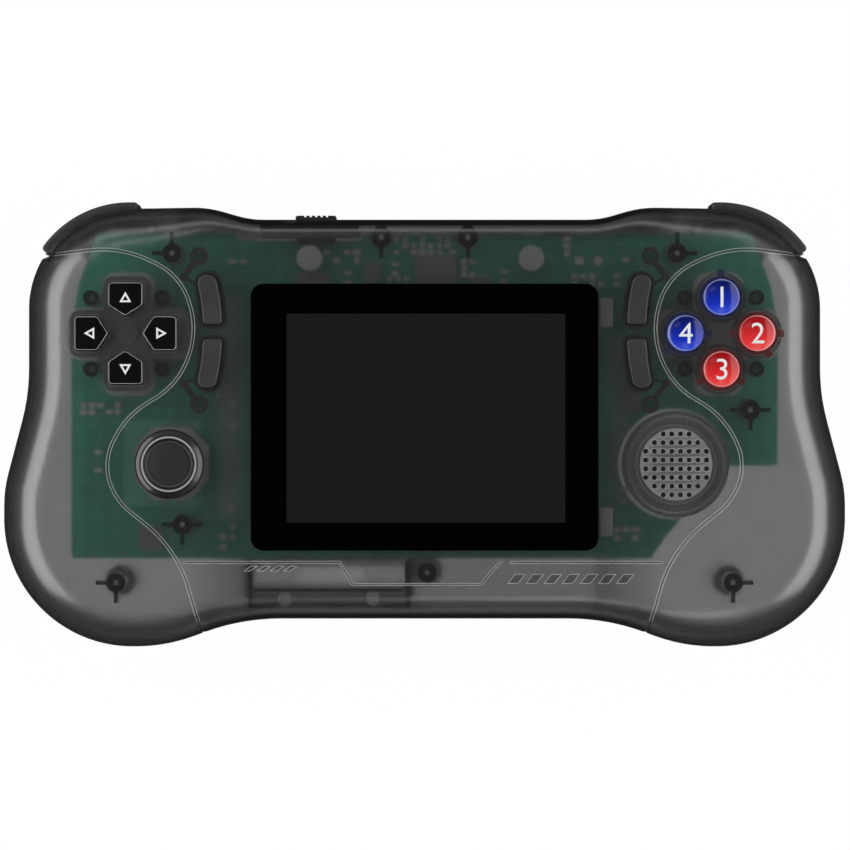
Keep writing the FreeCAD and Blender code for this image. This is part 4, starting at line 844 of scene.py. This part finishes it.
def rimTree():
    # a small ring on every point of a mesh
    tree, ins, outs = newGroup("holeRims", [
        ("Geometry", "Geometry"), ("Rim Radius", "Float", 0.0006), ("Rim Width", "Float", 0.0001),
        ("Rim Height", "Float", 0.0001), ("Finish", "Material")], [("Geometry", "Geometry")],
        "GeometryNodeTree")
    path = addNode(tree, "GeometryNodeCurvePrimitiveCircle", {"Resolution": grille["rimCount"],
                                                              "Radius": ins["Rim Radius"]})
    section = addNode(tree, "GeometryNodeCurvePrimitiveCircle", {"Resolution": grille["rimSides"],
                                                                 "Radius": ins["Rim Width"]})
    rim = addNode(tree, "GeometryNodeCurveToMesh", {"Curve": path.outputs["Curve"],
                                                    "Profile Curve": section.outputs["Curve"]})
    ratio = calc(tree, "DIVIDE", ins["Rim Height"], ins["Rim Width"])
    size = addNode(tree, "ShaderNodeCombineXYZ", {"X": 1.0, "Y": 1.0, "Z": ratio})
    flat = addNode(tree, "GeometryNodeTransform", {"Geometry": rim.outputs["Mesh"], "Scale": size.outputs[0]})
    spread = addNode(tree, "GeometryNodeInstanceOnPoints", {"Points": ins["Geometry"],
                                                            "Instance": flat.outputs["Geometry"]})
    return endTree(tree, spread.outputs["Instances"], ins, outs)


def grilleRimMesh():
    p = grille
    points = [((p["centerX"] + x) * mm, (p["centerY"] + y) * mm,
               (p["topZ"] + p["above"] - domeDrop(x, y)) * mm) for x, y in grilleSpots()]
    return bakeNodes("grilleRims", newMesh("grilleSpots", points, []), rimTree(), {
        "Rim Radius": (p["hole"] + p["rimWidth"] / 2) * mm, "Rim Width": p["rimWidth"] / 2 * mm,
        "Rim Height": p["rimHeight"] / 2 * mm, "Finish": looks["rimHighlightGrey"]})


def grilleRingMesh():
    p = grille
    mesh = flatPlate("grilleRing", [circle(0, 0, p[radius], p["plateCount"])
                                    for radius in ("ringOuter", "ringInner")], p["ringThick"])
    for v in mesh.vertices:
        v.co = (v.co.x + p["centerX"] * mm, v.co.y + p["centerY"] * mm,
                v.co.z + (p["ringZ"] + p["ringThick"] / 2) * mm)
    return outwardMesh(mesh)


addPiece("grillePlate", grillePlateMesh(), "housing", "grilleGrey")
addPiece("grilleRims", outwardMesh(grilleRimMesh()), "housing", "rimHighlightGrey")
addPiece("grilleRing", grilleRingMesh(), "housing", "ringShade")
print("grille made")


# small parts on the main board, their metal ends, chip legs and bare test pads
boardSet = dict(level=21.0, bodyShare=(0.6, 1.0, 1.0), endShare=(1.0, 0.94, 0.9), sizeSpread=0.25, turned=0.3,
                legShare=0.45, legLong=1.0, legThick=0.3, legOut=0.7, seenFrom=29.4, coveredFrom=27.5,
                near=0.01, draws=dict(keep=0, size=100, turn=200),
                standing=("board_chips", "board_small_parts", "board_coils", "key_switches", "stick_base",
                          "status_lamps", "speaker", "case_screws"))
smallParts = [dict(zip(("x", "y", "columns", "rows", "pitchX", "pitchY", "size", "keep", "seed"), row))
              for row in ((-20.5, 37.2, 6, 2, 2.2, 1.9, (2.0, 1.2, 0.9), 0.8, 3),
                          (-19.0, 29.3, 1, 2, 2.0, 1.6, (1.8, 1.2, 0.8), 1.0, 4),
                          (-0.5, 39.6, 7, 3, 1.9, 1.5, (1.7, 1.1, 0.8), 0.75, 5),
                          (-5.8, 31.6, 3, 2, 1.8, 1.5, (1.6, 1.0, 0.8), 0.9, 6),
                          (9.6, 34.6, 2, 3, 1.9, 1.5, (1.7, 1.2, 0.8), 0.8, 7),
                          (31.4, 39.6, 1, 3, 2.0, 1.7, (2.1, 1.3, 0.9), 1.0, 8),
                          (36.0, 31.9, 4, 2, 1.9, 1.7, (1.7, 1.2, 0.8), 0.85, 9),
                          (-71.5, 3.6, 5, 2, 1.9, 1.5, (1.8, 1.2, 0.8), 0.8, 10),
                          (-43.4, -22.5, 2, 5, 2.0, 2.2, (1.8, 1.2, 0.8), 0.7, 11),
                          (44.5, -24.0, 3, 2, 2.0, 1.9, (1.8, 1.2, 0.8), 0.8, 12),
                          (-44.6, 6.5, 2, 3, 1.8, 1.7, (1.6, 1.0, 0.8), 0.7, 13))]
chipLegs = [dict(zip(("x", "y", "along", "across", "legs"), row))
            for row in ((2.5, 33.6, 9.0, 7.0, 12), (-24.5, 30.8, 7.0, 4.4, 8), (-60.5, -25.0, 5.0, 4.0, 5),
                        (45.5, 6.0, 4.0, 5.0, 4), (25.0, 28.6, 5.0, 3.6, 6), (12.5, 31.0, 4.0, 3.0, 4))]
testPads = dict(x=0.0, y=6.4, columns=58, rows=26, pitchX=2.6, pitchY=2.7, size=(0.5, 0.5, 0.06), spread=0.3,
                keep=0.10, seed=21)


def partsTree():
    # boxes on a grid of points, some left out, each with its own size and quarter turn
    tree, ins, outs = newGroup("boardParts", [
        ("Geometry", "Geometry"), ("Columns", "Int", 4), ("Rows", "Int", 2), ("Pitch X", "Float", 0.002),
        ("Pitch Y", "Float", 0.002), ("Box Size", "Vector", (0.001, 0.001, 0.001)), ("Keep", "Float", 0.8),
        ("Size Spread", "Float", 0.2), ("Turned", "Float", 0.3), ("Seed", "Int", 1), ("Finish", "Material")],
        [("Geometry", "Geometry")], "GeometryNodeTree")

    def chance(draw, lowest=0.0):
        # a number up to 1 for each point, from the seed and a shift of its own for each kind of draw
        seed = calc(tree, "ADD", ins["Seed"], boardSet["draws"][draw])
        dice = addNode(tree, "FunctionNodeRandomValue", data_type="FLOAT")
        live = {socket.name: socket for socket in dice.inputs if socket.enabled}
        for name, value in (("Seed", seed), ("Min", lowest), ("Max", 1.0)):
            feed(tree, live[name], value)
        return next(socket for socket in dice.outputs if socket.enabled)

    grid = addNode(tree, "GeometryNodeMeshGrid", {"Vertices X": ins["Columns"], "Vertices Y": ins["Rows"]})
    for axis, count in (("X", ins["Columns"]), ("Y", ins["Rows"])):
        gaps = calc(tree, "SUBTRACT", count, 1.0)
        feed(tree, grid.inputs["Size " + axis], calc(tree, "MULTIPLY", gaps, ins["Pitch " + axis]))
    missing = calc(tree, "GREATER_THAN", chance("keep"), ins["Keep"])
    thin = addNode(tree, "GeometryNodeDeleteGeometry", {"Geometry": grid.outputs["Mesh"],
                                                        "Selection": missing}, domain="POINT")
    box = addNode(tree, "GeometryNodeMeshCube", {"Size": ins["Box Size"]})
    size = chance("size", calc(tree, "SUBTRACT", 1.0, ins["Size Spread"]))
    angle = calc(tree, "MULTIPLY", calc(tree, "LESS_THAN", chance("turn"), ins["Turned"]), math.pi / 2)
    facing = addNode(tree, "ShaderNodeCombineXYZ", {"Z": angle})
    spread = addNode(tree, "GeometryNodeInstanceOnPoints", {
        "Points": thin.outputs["Geometry"], "Instance": box.outputs["Mesh"], "Scale": size,
        "Rotation": facing.outputs[0]})
    return endTree(tree, spread.outputs["Instances"], ins, outs)


def gridOfBoxes(name, part, size, finish, spread, turned):
    # boxes of one group, moved in their mesh to where they stand on the board
    made = bakeNodes(name, newMesh(name + "Seed", [(0, 0, 0)], []), boxTree, {
        "Columns": part["columns"], "Rows": part["rows"], "Pitch X": part["pitchX"] * mm,
        "Pitch Y": part["pitchY"] * mm, "Box Size": tuple(v * mm for v in size), "Keep": part["keep"],
        "Size Spread": spread, "Turned": turned, "Seed": part["seed"], "Finish": looks[finish]})
    for v in made.vertices:
        v.co = (v.co.x + part["x"] * mm, v.co.y + part["y"] * mm,
                v.co.z + (boardSet["level"] + size[2] / 2) * mm)
    return made


def onBareBoard(v):
    top = dropTo(boardTree, v.co.x, v.co.y, boardSet["seenFrom"] * mm)
    if top is None or abs(top - boardSet["level"] * mm) > boardSet["near"] * mm:
        return False
    return all(dropTo(tree, v.co.x, v.co.y, boardSet["coveredFrom"] * mm) is None for tree in standing)


def onBoard(mesh):
    # only the loose boxes that lie whole on the bare board stay
    shape = bmesh.new()
    shape.from_mesh(mesh)
    shape.verts.ensure_lookup_table()
    seen, away = set(), []
    for vert in shape.verts:
        if vert.index in seen:
            continue
        island, stack = [], [vert]
        seen.add(vert.index)
        while stack:
            here = stack.pop()
            island.append(here)
            for edge in here.link_edges:
                other = edge.other_vert(here)
                if other.index not in seen:
                    seen.add(other.index)
                    stack.append(other)
        if not all(onBareBoard(v) for v in island):
            away += island
    bmesh.ops.delete(shape, geom=away, context="VERTS")
    shape.to_mesh(mesh)
    shape.free()
    return mesh


boardTree = surfaceTree("main_board")
standing = [surfaceTree(node) for node in boardSet["standing"]]
boxTree = partsTree()
for name, share, finish in (("boardPassives", boardSet["bodyShare"], "passive"),
                            ("boardPartEnds", boardSet["endShare"], "tin")):
    made = [gridOfBoxes("part", part, [a * b for a, b in zip(part["size"], share)], finish,
                        boardSet["sizeSpread"], boardSet["turned"]) for part in smallParts]
    addPiece(name, onBoard(joined(name, made)), "housing", finish)
legsMade = []
for chip in chipLegs:
    pitch = chip["along"] / chip["legs"]
    rows = dict(x=chip["x"], y=chip["y"], columns=chip["legs"], rows=2, pitchX=pitch,
                pitchY=chip["across"] + boardSet["legOut"], keep=1.0, seed=1)
    legsMade.append(gridOfBoxes("leg", rows, (pitch * boardSet["legShare"], boardSet["legLong"],
                                              boardSet["legThick"]), "tin", 0.0, 0.0))
addPiece("chipLegs", joined("chipLegs", legsMade), "housing", "tin")
pads = gridOfBoxes("testPads", testPads, testPads["size"], "tin", testPads["spread"], 0.0)
addPiece("testPads", onBoard(pads), "housing", "tin")
print("board parts set:", len(smallParts), "groups")


# pale pips at the closed ends of the screw bosses: painted light for the bright spot at each end
bossPips = dict(places=[(55.3, 37.6), (-55.3, 37.6), (9.5, 41.0), (-9.5, 41.0), (67.5, -34.5), (-67.5, -34.5),
                        (-53.0, -21.8), (71.3, 3.3), (0.6, -32.3)],
                radius=0.55, thick=0.1, gap=0.01, fromZ=22.2, count=12)


def pipMesh():
    p = bossPips
    count = p["count"]
    points, faces = [], []
    for x, y in p["places"]:
        end = dropTo(frontTree, x * mm, y * mm, p["fromZ"] * mm, down=False)
        if end is None:
            continue
        base = len(points)
        for level in (end / mm - p["gap"], end / mm - p["gap"] - p["thick"]):
            points += [(px * mm, py * mm, level * mm) for px, py in circle(x, y, p["radius"], count)]
        faces.append(tuple(base + k for k in range(count)))
        faces.append(tuple(base + count + k for k in reversed(range(count))))
        faces += [(base + k, base + count + k, base + count + (k + 1) % count, base + (k + 1) % count)
                  for k in range(count)]
    print("boss pips made:", len(points) // (2 * count))
    return outwardMesh(newMesh("bossPips", points, faces))


addPiece("bossPips", pipMesh(), "housing", "foam")


# painted highlight: a thin bright line on the rounded edge of each head of the pad
padEdges = dict(width=7.8, outer=11.3, inner=3.5, point=2.7, cornerRound=1.0, pointRound=0.8, inset=0.26,
                pointInset=1.25, line=0.13, thick=0.06, step=0.2)


def headLoop(inset):
    p = padEdges
    half, far, near = p["width"] / 2 - inset, p["outer"] - inset, p["inner"] + p["pointInset"] * inset
    side = p["inner"] + p["point"]
    return roundedPath([(0, far, 0), (-half, far, p["cornerRound"] - inset), (-half, side, p["pointRound"]),
                        (0, near, p["pointRound"]), (half, side, p["pointRound"]),
                        (half, far, p["cornerRound"] - inset), (0, far, 0)], p["step"])[:-1]


def padEdgeMesh():
    p = padEdges
    made = []
    for quarter in range(4):
        mesh = flatPlate("padEdge", [headLoop(p["inset"]), headLoop(p["inset"] + p["line"])], p["thick"])
        for v in mesh.vertices:
            v.co = headPoint(quarter, v.co.x / mm, v.co.y / mm, v.co.z / mm)
        made.append(mesh)
    return outwardMesh(joined("padEdges", made))


addPiece("padEdges", padEdgeMesh(), "direction_pad", "padGlint")
print("pad edges made")


# the battery compartment's frame, shelf and discs, seen through the lower strip, and the power slider's
# cover strip
insets = dict(
    frame=[[(-38.7, -30.0), (-38.7, -35.4), (-37.6, -35.4), (-37.6, -30.0)],
           [(-38.7, -35.4), (-38.7, -39.9), (-32.8, -39.9), (-32.8, -39.3), (-37.6, -39.3), (-37.6, -35.4)],
           [(-3.1, -30.0), (-3.1, -35.4), (-4.3, -35.4), (-4.3, -30.0)],
           [(-3.1, -35.4), (-3.1, -39.9), (-8.7, -39.9), (-8.7, -39.3), (-4.3, -39.3), (-4.3, -35.4)]],
    shelf=[[(-37.4, -35.7), (-37.4, -36.5), (-4.5, -36.5), (-4.5, -35.7)]],
    discs=[circle(-30.6, -38.0, 1.5, 32), circle(-11.3, -37.8, 1.5, 32)],
    cover=[[(-36.1, 42.2), (-36.1, 43.6), (-14.4, 43.6), (-14.4, 42.2)]],
    fromZ=22.0, thick=0.4, gap=0.12)


def insetPlate(name, loops):
    # plates close under the front shell, each at the height that its own corners leave
    made = []
    for loop in loops:
        roof = min(dropTo(frontTree, x * mm, y * mm, insets["fromZ"] * mm, down=False) for x, y in loop)
        mesh = flatPlate(name + "Part", [loop], insets["thick"])
        for v in mesh.vertices:
            v.co.z += roof - (insets["gap"] + insets["thick"] / 2) * mm
        made.append(mesh)
    return outwardMesh(joined(name, made))


for name, plates, finish, slotName in (("compartmentFrame", "frame", "blackPlastic", "black_trim"),
                                       ("compartmentShelf", "shelf", "coverShade", "black_trim"),
                                       ("compartmentDiscs", "discs", "discShade", "clear_shell"),
                                       ("sliderCover", "cover", "blackPlastic", "black_trim")):
    addPiece(name, insetPlate(name, insets[plates]), "housing", finish)
print("insets made")


# faint round moulding marks on the inner face of the front shell
mouldMarks = dict(spots=[(-81.9, -6.8, 2.6), (-80.3, -34.4, 2.6), (81.3, -6.6, 2.6), (79.6, -34.4, 2.6),
                         (-42.7, -34.6, 2.85), (61.4, -21.0, 2.4), (-30.1, -32.4, 1.4), (-11.3, -32.4, 1.4),
                         (-30.1, -38.5, 1.4), (-11.3, -38.5, 1.4), (37.8, -30.5, 2.6)],
                  line=0.16, drop=0.02, thick=0.04, count=40, fromZ=23.5)


def markRuns():
    p = mouldMarks
    runs = []
    for cx, cy, radius in p["spots"]:
        ring = [(x, y, dropTo(frontTree, x * mm, y * mm, p["fromZ"] * mm, down=False))
                for x, y in circle(cx, cy, radius, p["count"]) + [(cx + radius, cy)]]
        if all(z is not None for x, y, z in ring):
            runs.append([(x * mm, y * mm, z - p["drop"] * mm, (x - cx) / radius, (y - cy) / radius)
                         for x, y, z in ring])
    return runs


marks = markRuns()
addPiece("mouldMarks", ribbonMesh("mouldMarks", marks, mouldMarks["line"] / 2, mouldMarks["thick"]),
         "housing", "markEdge")
print("mould marks laid:", len(marks))


# studio

studio = dict(sensor=36.0, photoWide=0.1862, screenLevel=0.0275, eyeDistance=0.70, eyeX=0.0001, nearest=0.01,
              floorSize=6.0, floorZ=-0.0002, floorColor=grey(0.8), whiteShare=0.985, glossShare=0.03,
              worldLow=0.05, worldHigh=0.012, aim=(0, 0, 0.02))
lampSet = {
    "leftBox": dict(place=(-0.71, 0.0, 0.58), sizeX=1.3, sizeY=0.55, power=6.8),
    "rightBox": dict(place=(0.71, 0.0, 0.58), sizeX=1.3, sizeY=0.55, power=6.8),
    "topBox": dict(place=(0.0, 0.85, 0.62), sizeX=1.2, sizeY=0.26, power=1.3),
    "bottomBox": dict(place=(0.12, -0.46, 0.74), sizeX=0.22, sizeY=0.26, power=0.25),
    "frontBox": dict(place=(-0.26, 0.42, 0.86), sizeX=0.3, sizeY=0.2, power=0.2),
}


def makeCamera():
    lens = bpy.data.cameras.new("photoCamera")
    lens.sensor_fit = "HORIZONTAL"
    lens.sensor_width = studio["sensor"]
    lens.lens = studio["sensor"] * studio["eyeDistance"] / studio["photoWide"]
    lens.clip_start = studio["nearest"]
    camera = bpy.data.objects.new("photoCamera", lens)
    camera.location = (studio["eyeX"], 0, studio["screenLevel"] + studio["eyeDistance"])
    bpy.context.scene.collection.objects.link(camera)
    bpy.context.scene.camera = camera


def makeFloor():
    half, z = studio["floorSize"] / 2, studio["floorZ"]
    mesh = bpy.data.meshes.new("floor")
    mesh.from_pydata([(-half, -half, z), (half, -half, z), (half, half, z), (-half, half, z)], [],
                     [(0, 1, 2, 3)])
    floor = bpy.data.objects.new("floor", mesh)
    bpy.context.scene.collection.objects.link(floor)
    material, tree = newMaterial("paleFloor")
    path = addNode(tree, "ShaderNodeLightPath").outputs
    matt = addNode(tree, "ShaderNodeBsdfDiffuse", {"Color": studio["floorColor"]})
    glow = addNode(tree, "ShaderNodeEmission", {"Color": grey(1)})
    seen = calc(tree, "MAXIMUM", path["Is Camera Ray"], path["Is Transmission Ray"])
    white = addNode(tree, "ShaderNodeMixShader", {0: calc(tree, "MULTIPLY", seen, studio["whiteShare"]),
                                                  1: matt.outputs[0], 2: glow.outputs[0]})
    # reflections see a dimmer floor, so that the clear edges stay dark
    dim = addNode(tree, "ShaderNodeEmission", {"Color": grey(1), "Strength": studio["glossShare"]})
    mirrored = calc(tree, "SUBTRACT", path["Is Glossy Ray"], path["Is Transmission Ray"], clamp=True)
    finishMaterial(tree, addNode(tree, "ShaderNodeMixShader", {0: mirrored, 1: white.outputs[0],
                                                               2: dim.outputs[0]}))
    mesh.materials.append(material)


def makeWorld():
    world = bpy.data.worlds.new("studioWorld")
    bpy.context.scene.world = world
    world.use_nodes = True
    tree = world.node_tree
    tree.nodes.clear()
    place = addNode(tree, "ShaderNodeTexCoord").outputs["Generated"]
    height = addNode(tree, "ShaderNodeSeparateXYZ", {0: place}).outputs["Z"]
    ramp = addNode(tree, "ShaderNodeMapRange", {"Value": height, "From Min": 0.0, "From Max": 1.0,
                                                "To Min": studio["worldLow"], "To Max": studio["worldHigh"]})
    # the camera sees a white backdrop where the floor ends
    path = addNode(tree, "ShaderNodeLightPath").outputs
    seen = addNode(tree, "ShaderNodeMix", {"Factor": path["Is Camera Ray"], "A": ramp.outputs["Result"],
                                           "B": 1.0}, data_type="FLOAT")
    back = addNode(tree, "ShaderNodeBackground", {"Strength": seen.outputs["Result"]})
    addNode(tree, "ShaderNodeOutputWorld", {"Surface": back.outputs[0]})


def makeLamp(name, place, sizeX, sizeY, power):
    lamp = bpy.data.lights.new(name, "AREA")
    lamp.shape = "RECTANGLE"
    lamp.size = sizeX
    lamp.size_y = sizeY
    lamp.energy = power
    piece = bpy.data.objects.new(name, lamp)
    piece.location = place
    piece.rotation_euler = (Vector(studio["aim"]) - Vector(place)).to_track_quat("-Z", "Y").to_euler()
    bpy.context.scene.collection.objects.link(piece)


makeCamera()
makeFloor()
makeWorld()
for name, lamp in lampSet.items():
    makeLamp(name, **lamp)
bpy.context.scene.view_settings.view_transform = "Standard"
print("studio ready")
